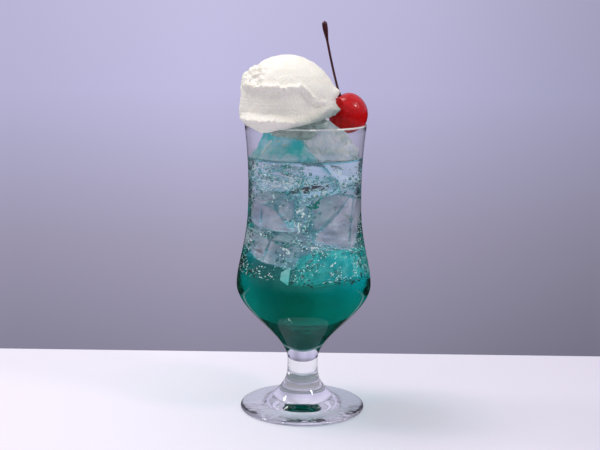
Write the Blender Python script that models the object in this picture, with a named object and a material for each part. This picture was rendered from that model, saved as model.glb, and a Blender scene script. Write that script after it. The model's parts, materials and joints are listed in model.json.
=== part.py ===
"""Ice cream float: a footed glass of layered soda with ice, a scoop of ice cream and a cherry.

Metres, +Z up. The origin is on the glass's axis, at the level that its foot stands on, and -Y is
the front. Every piece of the drink is a solid of its own, set a small gap from its neighbours.
"""

import math

import bmesh
import bpy
import numpy as np
from mathutils import Matrix, Vector, noise

# Glass: the turned outer form
GLASS_HEIGHT = 0.1765
RIM_RADIUS = 0.0366
WAIST_RADIUS = 0.0341
WAIST_HEIGHT = 0.1385
BULB_RADIUS = 0.0410
BULB_HEIGHT = 0.0785
NECK_RADIUS = 0.0093
NECK_TOP = 0.0305
FLARE_TOP = 0.0245
FLARE_RATE = 33.0
FOOT_RADIUS = 0.0382
FOOT_EDGE = 0.0019
FOOT_SLOPE = 0.09
FOOT_BLEND = 0.0010
WAIST_POWER = 1.6

# Glass: wall, cavity and underside
RIM_WALL = 0.0014
BULB_WALL = 0.0022
CAVITY_FLOOR = 0.0382
FLOOR_ROUND = 0.0060
CONE_SPREAD = 1.04
CAVITY_BLEND = 0.0012
RECESS_RADIUS = 0.0225
RECESS_DEPTH = 0.0028

# Drink
SYRUP_TOP = 0.0760
DRINK_LEVEL = 0.1565
GAP = 0.0003
WALL_GAP = 0.0004

# Scoop of ice cream
SCOOP_CENTRE = Vector((-0.0108, -0.0080, 0.1875))
SCOOP_RADIUS = 0.0294
SCOOP_HEIGHT_RATIO = 1.02
SCOOP_KEEL = Vector((-0.0260, 0.0, 0.1725))
SCOOP_BASE_TILTS = (math.radians(12.5), math.radians(-28.0))
PANEL_DEPTH = 0.0030
RIDGE_HEIGHT = 0.0011
LIP_HEIGHT = 0.0010
TUCK_DEPTH = 0.0026
SHOULDER_HEIGHT = 0.0030
FLANK_DEPTH = 0.0012
NOSE_HEIGHT = 0.0022

# Cherry and its stem
CHERRY_CENTRE = Vector((0.0252, 0.0020, 0.1827))
CHERRY_RADIUS = 0.0119
CHERRY_STRETCH = 1.06
CHERRY_DIMPLE = 0.0016
CHERRY_TILT = math.radians(-27)
STEM_RADIUS = 0.00075
STEM_CLUB_RADIUS = 0.0014
STEM_TOP = Vector((0.0101, 0.0010, 0.2370))
STEM_BOW = 0.0003

# Ice: blocks hewn by flats, each a direction and its distance from the block's middle
ICE_BLANK = 0.060
ICE_ROUND = 0.0011
ICE_CENTRES = {
    "ice_left": Vector((-0.0130, -0.0070, 0.1550)),
    "ice_right": Vector((0.0150, -0.0010, 0.1580)),
}
ICE_FLATS = {
    "ice_left": (
        ((0.18, -0.08, 0.98), 0.0158),
        ((-0.86, 0.10, 0.50), 0.0173),
        ((0.77, 0.05, 0.64), 0.0160),
        ((0.05, -0.97, 0.22), 0.0120),
        ((-0.10, 0.98, 0.10), 0.0120),
        ((0.00, 0.12, -0.99), 0.0140),
        ((-0.92, 0.05, -0.38), 0.0160),
        ((-0.60, -0.76, 0.25), 0.0132),
        ((0.65, -0.70, -0.30), 0.0165),
    ),
    "ice_right": (
        ((0.62, 0.25, 0.74), 0.0127),
        ((-0.76, 0.06, 0.65), 0.0168),
        ((-0.77, -0.05, -0.64), 0.0072),
        ((-0.05, -0.99, 0.10), 0.0138),
        ((0.05, 0.99, 0.04), 0.0130),
        ((0.86, -0.51, 0.02), 0.0152),
        ((0.99, 0.12, 0.06), 0.0160),
        ((0.10, 0.10, -0.99), 0.0150),
        ((-0.15, 0.05, 0.98), 0.0205),
        ((0.62, 0.76, -0.20), 0.0180),
    ),
}

AROUND = 44


def clear_scene():
    for thing in list(bpy.data.objects):
        bpy.data.objects.remove(thing, do_unlink=True)


def material(name, colour, roughness, transmission=0.0, subsurface=0.0):
    made = bpy.data.materials.new(name)
    made.use_nodes = True
    shader = made.node_tree.nodes["Principled BSDF"]
    shader.inputs["Base Color"].default_value = (*colour, 1.0)
    shader.inputs["Roughness"].default_value = roughness
    shader.inputs["Metallic"].default_value = 0.0
    shader.inputs["Transmission Weight"].default_value = transmission
    shader.inputs["Subsurface Weight"].default_value = subsurface
    made.diffuse_color = (*colour, 1.0)
    return made


def add_object(name, shape, look, smooth=True):
    """Turns a bmesh into an object, with its faces pointing out."""
    bmesh.ops.recalc_face_normals(shape, faces=shape.faces)
    mesh = bpy.data.meshes.new(name)
    shape.to_mesh(mesh)
    shape.free()
    thing = bpy.data.objects.new(name, mesh)
    bpy.context.scene.collection.objects.link(thing)
    if look is not None:
        mesh.materials.append(look)
    if smooth:
        mesh.shade_smooth()
        mesh.set_sharp_from_angle(angle=math.radians(40))
    return thing


def cut(thing, cutters):
    """Takes the cutters out of a piece."""
    for cutter in cutters:
        cutter.hide_render = True
        cutter.display_type = "WIRE"
        change = thing.modifiers.new("cut " + cutter.name, "BOOLEAN")
        change.operation = "DIFFERENCE"
        change.solver = "EXACT"
        change.object = cutter


def apply_changes(thing):
    """Bakes a piece's modifiers into its mesh."""
    graph = bpy.context.evaluated_depsgraph_get()
    finished = bpy.data.meshes.new_from_object(thing.evaluated_get(graph))
    thing.modifiers.clear()
    thing.data = finished


def ease(part):
    """Smooth step from 0 to 1."""
    part = min(max(part, 0.0), 1.0)
    return part * part * (3.0 - 2.0 * part)


def soft_max(a, b, width):
    return 0.5 * (a + b + math.hypot(a - b, width))


def soft_min(a, b, width):
    return 0.5 * (a + b - math.hypot(a - b, width))


def outer_radius(height):
    """Radius of the glass's outside, from the neck up to the rim."""
    if height >= WAIST_HEIGHT:
        rise = (height - WAIST_HEIGHT) / (GLASS_HEIGHT - WAIST_HEIGHT)
        return WAIST_RADIUS + (RIM_RADIUS - WAIST_RADIUS) * rise * rise
    if height >= BULB_HEIGHT:
        fall = (WAIST_HEIGHT - height) / (WAIST_HEIGHT - BULB_HEIGHT)
        return WAIST_RADIUS + (BULB_RADIUS - WAIST_RADIUS) * ease(fall**WAIST_POWER)
    fall = (BULB_HEIGHT - height) / (BULB_HEIGHT - NECK_TOP)
    return BULB_RADIUS + (NECK_RADIUS - BULB_RADIUS) * ease(fall)


def inner_radius(height):
    """Radius of the cavity: the outside less the wall, down to a rounded floor."""
    step = 0.0002
    slope = (outer_radius(height + step) - outer_radius(height - step)) / (2 * step)
    rise = ease((height - BULB_HEIGHT) / (GLASS_HEIGHT - BULB_HEIGHT))
    wall = BULB_WALL + (RIM_WALL - BULB_WALL) * rise
    side = outer_radius(height) - wall * math.hypot(1.0, slope)
    depth = max(height - CAVITY_FLOOR, 0.0)
    floor = math.sqrt(2 * FLOOR_ROUND * depth + CONE_SPREAD * depth * depth)
    return max(soft_min(side, floor, CAVITY_BLEND * min(depth / FLOOR_ROUND, 1.0)), 0.0)


def flare_radius(height):
    """Radius of the stem where it opens towards the foot."""
    return NECK_RADIUS + FLARE_RATE * max(FLARE_TOP - height, 0.0) ** 2


def foot_height(radius):
    """Height of the foot's upper face: the flare running out onto a nearly flat disc."""
    flare = FLARE_TOP - math.sqrt(max(radius - NECK_RADIUS, 0.0) / FLARE_RATE)
    disc = FOOT_EDGE + FOOT_SLOPE * (FOOT_RADIUS - radius)
    return soft_max(flare, disc, FOOT_BLEND)


def arc(centre, radius, start, end, steps):
    """Points of a round stretch, with the angles in degrees from +X."""
    turns = np.radians(np.linspace(start, end, steps))
    return [(centre[0] + radius * math.cos(t), centre[1] + radius * math.sin(t)) for t in turns]


def cavity_line():
    """The cavity's section, from the middle of its floor up to the lip."""
    floor = [0.0388, 0.0410]
    bowl = list(np.linspace(0.0440, BULB_HEIGHT, 9))
    inside = list(np.linspace(0.0865, 0.1755, 9))
    return [(0.0, CAVITY_FLOOR)] + [(inner_radius(height), height) for height in floor + bowl + inside]


def glass_outline():
    """The glass's section, from the axis under the foot, round the outside, to the cavity's floor."""
    recess = [(RECESS_RADIUS * part, RECESS_DEPTH * (1 - part**2)) for part in (0.0, 0.4, 0.75, 1.0)]
    round_edge = FOOT_EDGE / 2
    edge = arc((FOOT_RADIUS - round_edge, round_edge), round_edge, -90, 60, 5)
    foot = [(radius, foot_height(radius)) for radius in np.linspace(0.0350, 0.0200, 5)]
    flare = [(flare_radius(height), height) for height in np.linspace(0.0070, FLARE_TOP, 6)]
    cone = [(outer_radius(height), height) for height in np.linspace(NECK_TOP, BULB_HEIGHT, 13)]
    body = [(outer_radius(height), height) for height in np.linspace(0.0865, 0.1755, 9)]
    lip_round = RIM_WALL / 2
    lip = arc((RIM_RADIUS - lip_round, GLASS_HEIGHT - lip_round), lip_round, 30, 150, 3)
    return recess + edge + foot + flare + cone + body + lip + cavity_line()[::-1]


def turn(outline, steps=AROUND):
    """A closed solid turned about the axis from a section that starts and ends on the axis."""
    shape = bmesh.new()
    points = [shape.verts.new((radius, 0.0, height)) for radius, height in outline]
    edges = [shape.edges.new(pair) for pair in zip(points, points[1:])]
    bmesh.ops.spin(
        shape,
        geom=points + edges,
        cent=(0, 0, 0),
        axis=(0, 0, 1),
        angle=2 * math.pi,
        steps=steps,
        use_merge=True,
    )
    bmesh.ops.remove_doubles(shape, verts=shape.verts, dist=1e-6)
    return shape


def glass():
    look = material("clear glass", (0.92, 0.96, 0.97), 0.02, transmission=1.0)
    return add_object("glass", turn(glass_outline()), look)


def filling(name, bottom, top, look):
    """A layer of the drink, from wall to wall, on the glass's own facets drawn in by the gap."""
    line = [(max(radius - WALL_GAP, 0.0), height + GAP) for radius, height in cavity_line()]
    radii, heights = zip(*line)
    wall = [(radius, height) for radius, height in line if bottom < height < top]
    if bottom > heights[0]:
        wall = [(0.0, bottom), (float(np.interp(bottom, heights, radii)), bottom)] + wall
    wall += [(float(np.interp(top, heights, radii)), top), (0.0, top)]
    return add_object(name, turn(wall), look)


def ice_shape(block, grow=0.0, rounded=True):
    """A block of ice: a cube of stock with flats hewn off it, and melted edges."""
    shape = bmesh.new()
    bmesh.ops.create_cube(shape, size=ICE_BLANK)
    for direction, distance in ICE_FLATS[block]:
        normal = Vector(direction).normalized()
        result = bmesh.ops.bisect_plane(
            shape,
            geom=shape.verts[:] + shape.edges[:] + shape.faces[:],
            plane_co=normal * (distance + grow),
            plane_no=normal,
            clear_outer=True,
        )
        rim = [part for part in result["geom_cut"] if isinstance(part, bmesh.types.BMEdge)]
        if rim:
            bmesh.ops.edgenet_fill(shape, edges=rim)
    if rounded:
        bmesh.ops.bevel(
            shape,
            geom=shape.edges[:],
            offset=ICE_ROUND,
            affect="EDGES",
            segments=2,
            profile=0.5,
            clamp_overlap=True,
            material=-1,
        )
    bmesh.ops.translate(shape, verts=shape.verts, vec=ICE_CENTRES[block])
    return shape


def ice_block(block):
    look = material(block, (0.70, 0.86, 0.90), 0.05, transmission=0.9)
    return add_object(block, ice_shape(block), look)


def ice_clearance(block):
    """The room that a block of ice takes in the pieces round it."""
    return add_object(block + " room", ice_shape(block, GAP, rounded=False), None, smooth=False)


def bump(value, width):
    return math.exp(-((value / width) ** 2))


def lip_at(side):
    """Elevation in degrees of the overhanging lip above the scraped panel."""
    droop = 0.78 * max(side - 17.0, 0.0)
    wobble = 1.2 * math.sin(math.radians(side * 9.0)) + 0.9 * math.sin(math.radians(side * 23.0))
    return 26.0 - droop + wobble


def ridge_at(side):
    """Elevation in degrees of the ridge below the scraped panel."""
    return -11.0 + 15.0 * ease((side - 20.0) / 30.0) - 6.0 * ease((side - 55.0) / 25.0)


def scoop_relief(direction):
    """How far the scoop's surface stands out from, or in from, its ball in one direction."""
    side = math.degrees(math.atan2(direction.x, -direction.y))
    height = math.degrees(math.asin(max(-1.0, min(1.0, direction.z))))
    lip = lip_at(side)
    ridge = ridge_at(side)
    front = ease((side + 74.0) / 22.0) * ease((60.0 - side) / 14.0)
    back = 0.6 * ease((abs(side) - 118.0) / 20.0)
    panel = ease((lip - height) / 4.0) * ease((height - ridge) / 9.0)
    relief = -PANEL_DEPTH * (front + back) * panel
    relief += RIDGE_HEIGHT * bump(height - ridge, 5.0)
    relief += LIP_HEIGHT * (front + back) * bump(height - lip - 3.0, 5.0)
    relief += SHOULDER_HEIGHT * bump(height - 36.0, 15.0) * bump(side + 88.0, 34.0)
    relief -= FLANK_DEPTH * bump(height - 4.0, 34.0) * bump(side + 92.0, 48.0)
    relief += NOSE_HEIGHT * bump(height - 12.0, 7.0) * bump(side - 86.0, 22.0)
    relief -= TUCK_DEPTH * ease((ridge - height) / 22.0) * (0.3 + 0.7 * ease((side + 10.0) / 60.0))
    soft = noise.noise(direction * 2.1 + Vector((3.1, 0.4, 7.7)))
    lumps = noise.noise(direction * 6.0 + Vector((0.3, 5.2, 1.9)))
    ragged = 0.0004 + 0.0007 * ease((20.0 - side) / 60.0) * ease((55.0 - height) / 40.0)
    return relief + 0.0007 * soft + ragged * lumps


def scoop_shape(across, up):
    """The scoop: a ball with its scraped panel, lip and ridge, flattened underneath."""
    shape = bmesh.new()
    bmesh.ops.create_uvsphere(shape, u_segments=across, v_segments=up, radius=1.0)
    for point in shape.verts:
        direction = point.co.normalized()
        radius = SCOOP_RADIUS + scoop_relief(direction)
        point.co = direction * radius
        point.co.z *= SCOOP_HEIGHT_RATIO
        point.co += SCOOP_CENTRE
    return shape


def flatten_base(shape):
    """Cuts the ball off along the two slants of its base, which meet in a keel."""
    for tilt in SCOOP_BASE_TILTS:
        result = bmesh.ops.bisect_plane(
            shape,
            geom=shape.verts[:] + shape.edges[:] + shape.faces[:],
            plane_co=SCOOP_KEEL,
            plane_no=Vector((math.sin(tilt), 0.0, -math.cos(tilt))),
            clear_outer=True,
        )
        rim = [part for part in result["geom_cut"] if isinstance(part, bmesh.types.BMEdge)]
        bmesh.ops.edgenet_fill(shape, edges=rim)


def rim_clearance():
    """A ring round the upper wall of the glass, for what rests on the rim."""
    low = 0.1600
    heights = np.linspace(low, 0.1750, 4)
    outside = [(outer_radius(height) + GAP, height) for height in heights]
    inside = [(inner_radius(height) - GAP, height) for height in heights[::-1]]
    top = GLASS_HEIGHT + GAP
    crown = [(RIM_RADIUS - 0.1 * RIM_WALL, top), (RIM_RADIUS - 0.9 * RIM_WALL, top)]
    shape = bmesh.new()
    points = [shape.verts.new((radius, 0.0, height)) for radius, height in outside + crown + inside]
    edges = [shape.edges.new(pair) for pair in zip(points, points[1:] + points[:1])]
    bmesh.ops.spin(
        shape,
        geom=points + edges,
        cent=(0, 0, 0),
        axis=(0, 0, 1),
        angle=2 * math.pi,
        steps=AROUND,
        use_merge=True,
    )
    bmesh.ops.remove_doubles(shape, verts=shape.verts, dist=1e-6)
    return add_object("rim room", shape, None, smooth=False)


def cherry_shape(grow=0.0, around=26, up=18):
    """A cherry, slightly taller than wide, with a dimple for its stem at the top."""
    shape = bmesh.new()
    bmesh.ops.create_uvsphere(shape, u_segments=around, v_segments=up, radius=1.0)
    for point in shape.verts:
        direction = point.co.normalized()
        level = math.hypot(direction.x, direction.y)
        dimple = CHERRY_DIMPLE * bump(level, 0.30) * (1.0 if direction.z > 0 else 0.25)
        point.co = direction * (CHERRY_RADIUS + grow)
        point.co.z = point.co.z * CHERRY_STRETCH - math.copysign(dimple, direction.z)
    bmesh.ops.rotate(shape, verts=shape.verts, cent=(0, 0, 0), matrix=Matrix.Rotation(CHERRY_TILT, 3, "Y"))
    bmesh.ops.translate(shape, verts=shape.verts, vec=CHERRY_CENTRE)
    return shape


def cherry():
    look = material("cherry skin", (0.62, 0.01, 0.03), 0.15, subsurface=0.2)
    return add_object("cherry", cherry_shape(), look)


def cherry_clearance():
    return add_object("cherry room", cherry_shape(GAP), None, smooth=False)


def stem_path(steps):
    """Points of the stem's bowed line, from the cherry's dimple up to its club end."""
    upright = Matrix.Rotation(CHERRY_TILT, 3, "Y") @ Vector((0, 0, 1))
    base = CHERRY_CENTRE + upright * (CHERRY_RADIUS * CHERRY_STRETCH - CHERRY_DIMPLE + 2 * GAP)
    sideways = (STEM_TOP - base).cross(Vector((0, 1, 0))).normalized()
    parts = np.linspace(0.0, 1.0, steps)
    return [base.lerp(STEM_TOP, part) + sideways * STEM_BOW * math.sin(math.pi * part) for part in parts]


def cherry_stem():
    """The stem, a bevelled curve that thickens to a club at its upper end and a little at its foot."""
    steps = 13
    line = bpy.data.curves.new("cherry_stem", "CURVE")
    line.dimensions = "3D"
    line.bevel_depth = STEM_RADIUS
    line.bevel_resolution = 3
    line.use_fill_caps = True
    spline = line.splines.new("POLY")
    spline.points.add(steps - 1)
    for index, place in enumerate(stem_path(steps)):
        part = index / (steps - 1)
        club = (STEM_CLUB_RADIUS / STEM_RADIUS - 1.0) * ease((part - 0.62) / 0.32)
        foot = 0.5 * bump(part, 0.06)
        spline.points[index].co = (*place, 1.0)
        spline.points[index].radius = 1.0 + club + foot
    thing = bpy.data.objects.new("cherry_stem", line)
    line.materials.append(material("dark stem", (0.09, 0.01, 0.015), 0.45))
    bpy.context.scene.collection.objects.link(thing)
    return thing


def scoop():
    shape = scoop_shape(56, 34)
    flatten_base(shape)
    look = material("vanilla ice", (0.93, 0.91, 0.85), 0.55, subsurface=0.3)
    return add_object("ice_cream", shape, look)


def build():
    clear_scene()
    glass()
    syrup_look = material("dark syrup", (0.0, 0.22, 0.18), 0.03, transmission=0.6)
    soda_look = material("pale soda", (0.45, 0.78, 0.80), 0.03, transmission=0.8)
    filling("drink_syrup", CAVITY_FLOOR, SYRUP_TOP, syrup_look)
    soda = filling("drink_soda", SYRUP_TOP + GAP, DRINK_LEVEL, soda_look)
    blocks = [ice_block(name) for name in ICE_CENTRES]
    rooms = [ice_clearance(block.name) for block in blocks]
    fruit = cherry()
    ball = scoop()
    rim_room = rim_clearance()
    fruit_room = cherry_clearance()
    cut(soda, rooms)
    cut(fruit, [rim_room])
    cut(ball, [rim_room, fruit_room] + rooms)
    for thing in (soda, fruit, ball):
        apply_changes(thing)
    for helper in rooms + [rim_room, fruit_room]:
        bpy.data.objects.remove(helper, do_unlink=True)
    cherry_stem()


build()
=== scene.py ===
"""Looks of the ice cream float: clear glass, layered drink with ice and bubbles, ice cream, cherry.

Metres, +Z up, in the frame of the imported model. The turned pieces repeat the glass's own section,
so that the drink reaches just into the wall that it wets.
"""

import itertools
import json
import math
import random

import bmesh
import bpy
import numpy as np
from mathutils import Matrix, Vector, noise
from mathutils.bvhtree import BVHTree

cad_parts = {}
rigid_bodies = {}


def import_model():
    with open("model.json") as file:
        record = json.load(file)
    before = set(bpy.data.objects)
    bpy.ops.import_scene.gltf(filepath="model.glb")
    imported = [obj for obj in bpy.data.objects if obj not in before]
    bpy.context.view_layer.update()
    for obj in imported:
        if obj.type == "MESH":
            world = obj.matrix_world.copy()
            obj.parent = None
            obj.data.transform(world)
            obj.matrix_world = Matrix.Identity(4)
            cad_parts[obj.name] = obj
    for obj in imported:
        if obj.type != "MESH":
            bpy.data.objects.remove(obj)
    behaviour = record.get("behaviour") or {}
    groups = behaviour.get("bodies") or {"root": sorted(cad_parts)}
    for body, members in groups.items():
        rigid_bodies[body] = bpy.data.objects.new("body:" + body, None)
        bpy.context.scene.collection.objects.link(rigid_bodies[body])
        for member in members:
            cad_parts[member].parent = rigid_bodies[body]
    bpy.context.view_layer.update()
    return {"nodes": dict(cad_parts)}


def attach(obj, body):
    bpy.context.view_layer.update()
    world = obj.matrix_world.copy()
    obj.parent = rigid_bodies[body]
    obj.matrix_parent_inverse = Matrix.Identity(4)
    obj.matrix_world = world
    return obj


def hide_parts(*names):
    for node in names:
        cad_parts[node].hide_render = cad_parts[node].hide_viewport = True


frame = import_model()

# Camera: the photograph's place, pitch, turn, roll and focal length
CAMERA_PLACE = Vector((0.0, -0.704, 0.2455))
CAMERA_PITCH = math.radians(10.53)
CAMERA_TURN = math.radians(0.215)
CAMERA_ROLL = math.radians(0.70)
CAMERA_LENS = 70.74

# Glass: the turned outer form, as in the solids
GLASS_HEIGHT = 0.1765
RIM_RADIUS = 0.0366
WAIST_RADIUS = 0.0341
WAIST_HEIGHT = 0.1385
BULB_RADIUS = 0.0410
BULB_HEIGHT = 0.0785
NECK_RADIUS = 0.0093
NECK_TOP = 0.0305
FLARE_TOP = 0.0245
FLARE_RATE = 33.0
FOOT_RADIUS = 0.0382
FOOT_EDGE = 0.0019
FOOT_SLOPE = 0.09
FOOT_BLEND = 0.0010
WAIST_POWER = 1.6
RIM_WALL = 0.0014
BULB_WALL = 0.0022
CAVITY_FLOOR = 0.0382
FLOOR_ROUND = 0.0060
CONE_SPREAD = 1.04
CAVITY_BLEND = 0.0012
RECESS_RADIUS = 0.0225
RECESS_DEPTH = 0.0028
GLASS_STEPS = 192

# Stretches of the glass's section: the foot's disc by radius; its flare, cone and body by height
DISC_STRETCH = (0.0368, 0.0200)
FLARE_STRETCH = (0.0066, FLARE_TOP)
CONE_STRETCH = (NECK_TOP, BULB_HEIGHT)
BODY_STRETCH = (0.0800, 0.1757)
CAVITY_TOP = 0.1755
CAVITY_CROWDING = 1.6

# Drink: its level, how it meets the wall, and its layers from the dark syrup to the pale soda
DRINK_LEVEL = 0.1565
WALL_REACH = 0.0001
LAYER_LAP = 0.00003
DRINK_STEPS = 128
MENISCUS_RISE = 0.0010
MENISCUS_REACH = 0.0012
MENISCUS_LEAD = 0.0004
MENISCUS_STEPS = (0.0, 0.0003, 0.0007, 0.0012, 0.0020, 0.0032, 0.0060)
LAYER_HEIGHTS = (0.0000, 0.0790, 0.0810, 0.0835, 0.0865, 0.0900, 0.0945, 0.1000, DRINK_LEVEL)
LAYER_SLANT = Vector((0.20, -0.05, 1.0)).normalized()
DARK_ABSORPTION = Vector((220.0, 18.0, 25.5))
PALE_ABSORPTION = Vector((9.5, 1.7, 2.3))
MIXING_DEPTH = 0.0061

# How far light is bent at each kind of surface
DRINK_INDEX = 1.333
GLASS_INDEX = 1.5
ICE_INDEX = 1.31
STANDING_ICE_INDEX = 1.13
SUNK_ICE_INDEX = 1.03

# Scoop of ice cream
SCOOP_CENTRE = Vector((-0.0108, -0.0080, 0.1875))
SCOOP_RADIUS = 0.0294
SCOOP_HEIGHT_RATIO = 1.02
SCOOP_KEEL = Vector((-0.0260, 0.0, 0.1725))
SCOOP_BASE_TILTS = (math.radians(12.5), math.radians(-28.0))
BASE_UNEVENNESS = 0.0012
# Painted greenish shade at the scoop's lower right: the way along which it grows, and where it sets in
PAINTED_SHADE_WAY = (0.42, 0.0, -1.0)
PAINTED_SHADE_RANGE = (-0.1852, -0.1762)

# Cherry and stem
CHERRY_CENTRE = Vector((0.0252, 0.0020, 0.1827))
CHERRY_RADIUS = 0.0119
CHERRY_STRETCH = 1.06
CHERRY_DIMPLE = 0.0016
CHERRY_DENTS = 0.00018
CHERRY_TILT = math.radians(-27)
STEM_RADIUS = 0.00070
STEM_CLUB_RADIUS = 0.0016
STEM_BOW = 0.0007
STEM_FLARE = 0.0005
STEM_SINK = 0.0002
CLUB_START = 0.72
CLUB_LENGTH = 0.20
STEM_TOP = Vector((0.0101, 0.0010, 0.2370))
STEM_STEPS = 48
STEM_SIDES = 20


def ease(part):
    """Smooth step from 0 to 1."""
    part = min(max(part, 0.0), 1.0)
    return part * part * (3.0 - 2.0 * part)


def bump(value, width):
    return math.exp(-((value / width) ** 2))


def soft_max(a, b, width):
    return 0.5 * (a + b + math.hypot(a - b, width))


def soft_min(a, b, width):
    return 0.5 * (a + b - math.hypot(a - b, width))


# The glass's section

def outer_radius(height):
    """Radius of the glass's outside, from the neck up to the rim."""
    if height >= WAIST_HEIGHT:
        rise = (height - WAIST_HEIGHT) / (GLASS_HEIGHT - WAIST_HEIGHT)
        return WAIST_RADIUS + (RIM_RADIUS - WAIST_RADIUS) * rise * rise
    if height >= BULB_HEIGHT:
        fall = (WAIST_HEIGHT - height) / (WAIST_HEIGHT - BULB_HEIGHT)
        return WAIST_RADIUS + (BULB_RADIUS - WAIST_RADIUS) * ease(fall**WAIST_POWER)
    fall = (BULB_HEIGHT - height) / (BULB_HEIGHT - NECK_TOP)
    return BULB_RADIUS + (NECK_RADIUS - BULB_RADIUS) * ease(fall)


def inner_radius(height):
    """Radius of the cavity: the outside less the wall, down to a rounded floor."""
    step = 0.0002
    slope = (outer_radius(height + step) - outer_radius(height - step)) / (2 * step)
    rise = ease((height - BULB_HEIGHT) / (GLASS_HEIGHT - BULB_HEIGHT))
    wall = BULB_WALL + (RIM_WALL - BULB_WALL) * rise
    side = outer_radius(height) - wall * math.hypot(1.0, slope)
    depth = max(height - CAVITY_FLOOR, 0.0)
    floor = math.sqrt(2 * FLOOR_ROUND * depth + CONE_SPREAD * depth * depth)
    return max(soft_min(side, floor, CAVITY_BLEND * min(depth / FLOOR_ROUND, 1.0)), 0.0)


def flare_radius(height):
    """Radius of the stem where it opens towards the foot."""
    return NECK_RADIUS + FLARE_RATE * max(FLARE_TOP - height, 0.0) ** 2


def foot_height(radius):
    """Height of the foot's upper face: the flare running out onto a nearly flat disc."""
    flare = FLARE_TOP - math.sqrt(max(radius - NECK_RADIUS, 0.0) / FLARE_RATE)
    disc = FOOT_EDGE + FOOT_SLOPE * (FOOT_RADIUS - radius)
    return soft_max(flare, disc, FOOT_BLEND)


def arc(centre, radius, start, end, steps):
    """Points of a round stretch, with the angles in degrees from +X."""
    turns = np.radians(np.linspace(start, end, steps))
    return [(centre[0] + radius * math.cos(t), centre[1] + radius * math.sin(t)) for t in turns]


def cavity_line(steps):
    """The cavity's section, from the middle of its floor up to the lip, finer at the round floor."""
    parts = np.linspace(0.0, 1.0, steps) ** CAVITY_CROWDING
    heights = CAVITY_FLOOR + (CAVITY_TOP - CAVITY_FLOOR) * parts
    return [(inner_radius(height), height) for height in heights]


def glass_outline():
    """The glass's section, from the axis under the foot, round the outside, to the cavity's floor."""
    recess = [(RECESS_RADIUS * part, RECESS_DEPTH * (1 - part**2)) for part in np.linspace(0.0, 1.0, 12)]
    round_edge = FOOT_EDGE / 2
    edge = arc((FOOT_RADIUS - round_edge, round_edge), round_edge, -90, 60, 11)
    foot = [(radius, foot_height(radius)) for radius in np.linspace(*DISC_STRETCH, 18)]
    flare = [(flare_radius(height), height) for height in np.linspace(*FLARE_STRETCH, 18)]
    cone = [(outer_radius(height), height) for height in np.linspace(*CONE_STRETCH, 40)]
    body = [(outer_radius(height), height) for height in np.linspace(*BODY_STRETCH, 36)]
    lip_round = RIM_WALL / 2
    lip = arc((RIM_RADIUS - lip_round, GLASS_HEIGHT - lip_round), lip_round, 15, 165, 9)
    return recess + edge + foot + flare + cone + body + lip + cavity_line(70)[::-1]


def turn(outline, steps):
    """A closed shape turned about the axis from a section that starts and ends on the axis."""
    shape = bmesh.new()
    points = [shape.verts.new((radius, 0.0, height)) for radius, height in outline]
    edges = [shape.edges.new(pair) for pair in zip(points, points[1:])]
    bmesh.ops.spin(
        shape,
        geom=points + edges,
        cent=(0, 0, 0),
        axis=(0, 0, 1),
        angle=2 * math.pi,
        steps=steps,
        use_merge=True,
    )
    bmesh.ops.remove_doubles(shape, verts=shape.verts, dist=1e-6)
    bmesh.ops.recalc_face_normals(shape, faces=shape.faces)
    return shape


def uneven(place, scale):
    """Soft noise from 0 to 1, in lumps about as wide as one divided by scale."""
    return 0.5 + 0.5 * noise.noise(place * scale)


def arrange(shape, verts, half=(1, 1, 1), tilts=(0, 0, 0), middle=(0, 0, 0)):
    """Scales points, tilts them about X, Y and Z, and moves them."""
    bmesh.ops.scale(shape, verts=verts, vec=half)
    for axis, tilt in zip("XYZ", tilts):
        bmesh.ops.rotate(shape, verts=verts, matrix=Matrix.Rotation(tilt, 3, axis))
    bmesh.ops.translate(shape, verts=verts, vec=middle)


def faces_of(made):
    """The faces at the points that a bmesh operator made."""
    return list({face for vert in made["verts"] for face in vert.link_faces})


def link(name, data):
    """A new object in the scene."""
    made = bpy.data.objects.new(name, data)
    bpy.context.scene.collection.objects.link(made)
    return made


def link_shape(name, shape, looks):
    """A new object in the scene from a bmesh, which is freed."""
    mesh = bpy.data.meshes.new(name)
    shape.to_mesh(mesh)
    shape.free()
    for look in looks:
        mesh.materials.append(look)
    return link(name, mesh)


def add_piece(name, shape, looks, replaced=(), smooth=True):
    """Turns a bmesh into a piece of the object that rides on its body."""
    piece = link_shape(name, shape, looks)
    if smooth:
        piece.data.shade_smooth()
    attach(piece, "root")
    if replaced:
        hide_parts(*replaced)
    return piece


# Materials

CLEAR = ((0.99, 1.0, 1.0), (1.0, 1.0, 1.0))


def new_look(name, values):
    """A material with its node tree and its Principled shader, whose plain values are given by socket."""
    look = bpy.data.materials.new(name)
    look.use_nodes = True
    shader = look.node_tree.nodes["Principled BSDF"]
    for socket, value in values.items():
        shader.inputs[socket].default_value = value
    return look, look.node_tree, shader


def plug(tree, source, socket):
    """Gives a socket a number, a colour, or another socket's output."""
    if isinstance(source, tuple):
        socket.default_value = (*source, 1.0)
    elif isinstance(source, (int, float)):
        socket.default_value = source
    else:
        tree.links.new(source, socket)


def maths(tree, operation, first, second):
    """A Math node on two inputs, each a value or a socket."""
    node = tree.nodes.new("ShaderNodeMath")
    node.operation = operation
    plug(tree, first, node.inputs[0])
    plug(tree, second, node.inputs[1])
    return node.outputs["Value"]


def blend(tree, kind, factor, first, second):
    """A Mix node on two colours, each a colour or a socket."""
    node = tree.nodes.new("ShaderNodeMix")
    node.data_type = "RGBA"
    node.blend_type = kind
    plug(tree, factor, node.inputs["Factor"])
    plug(tree, first, node.inputs["A"])
    plug(tree, second, node.inputs["B"])
    return node.outputs["Result"]


def mix_shaders(tree, factor, first, second):
    """A Mix Shader node: the first where the factor is 0, the second where it is 1."""
    node = tree.nodes.new("ShaderNodeMixShader")
    for index, source in enumerate((factor, first, second)):
        tree.links.new(source, node.inputs[index])
    return node.outputs["Shader"]


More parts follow.
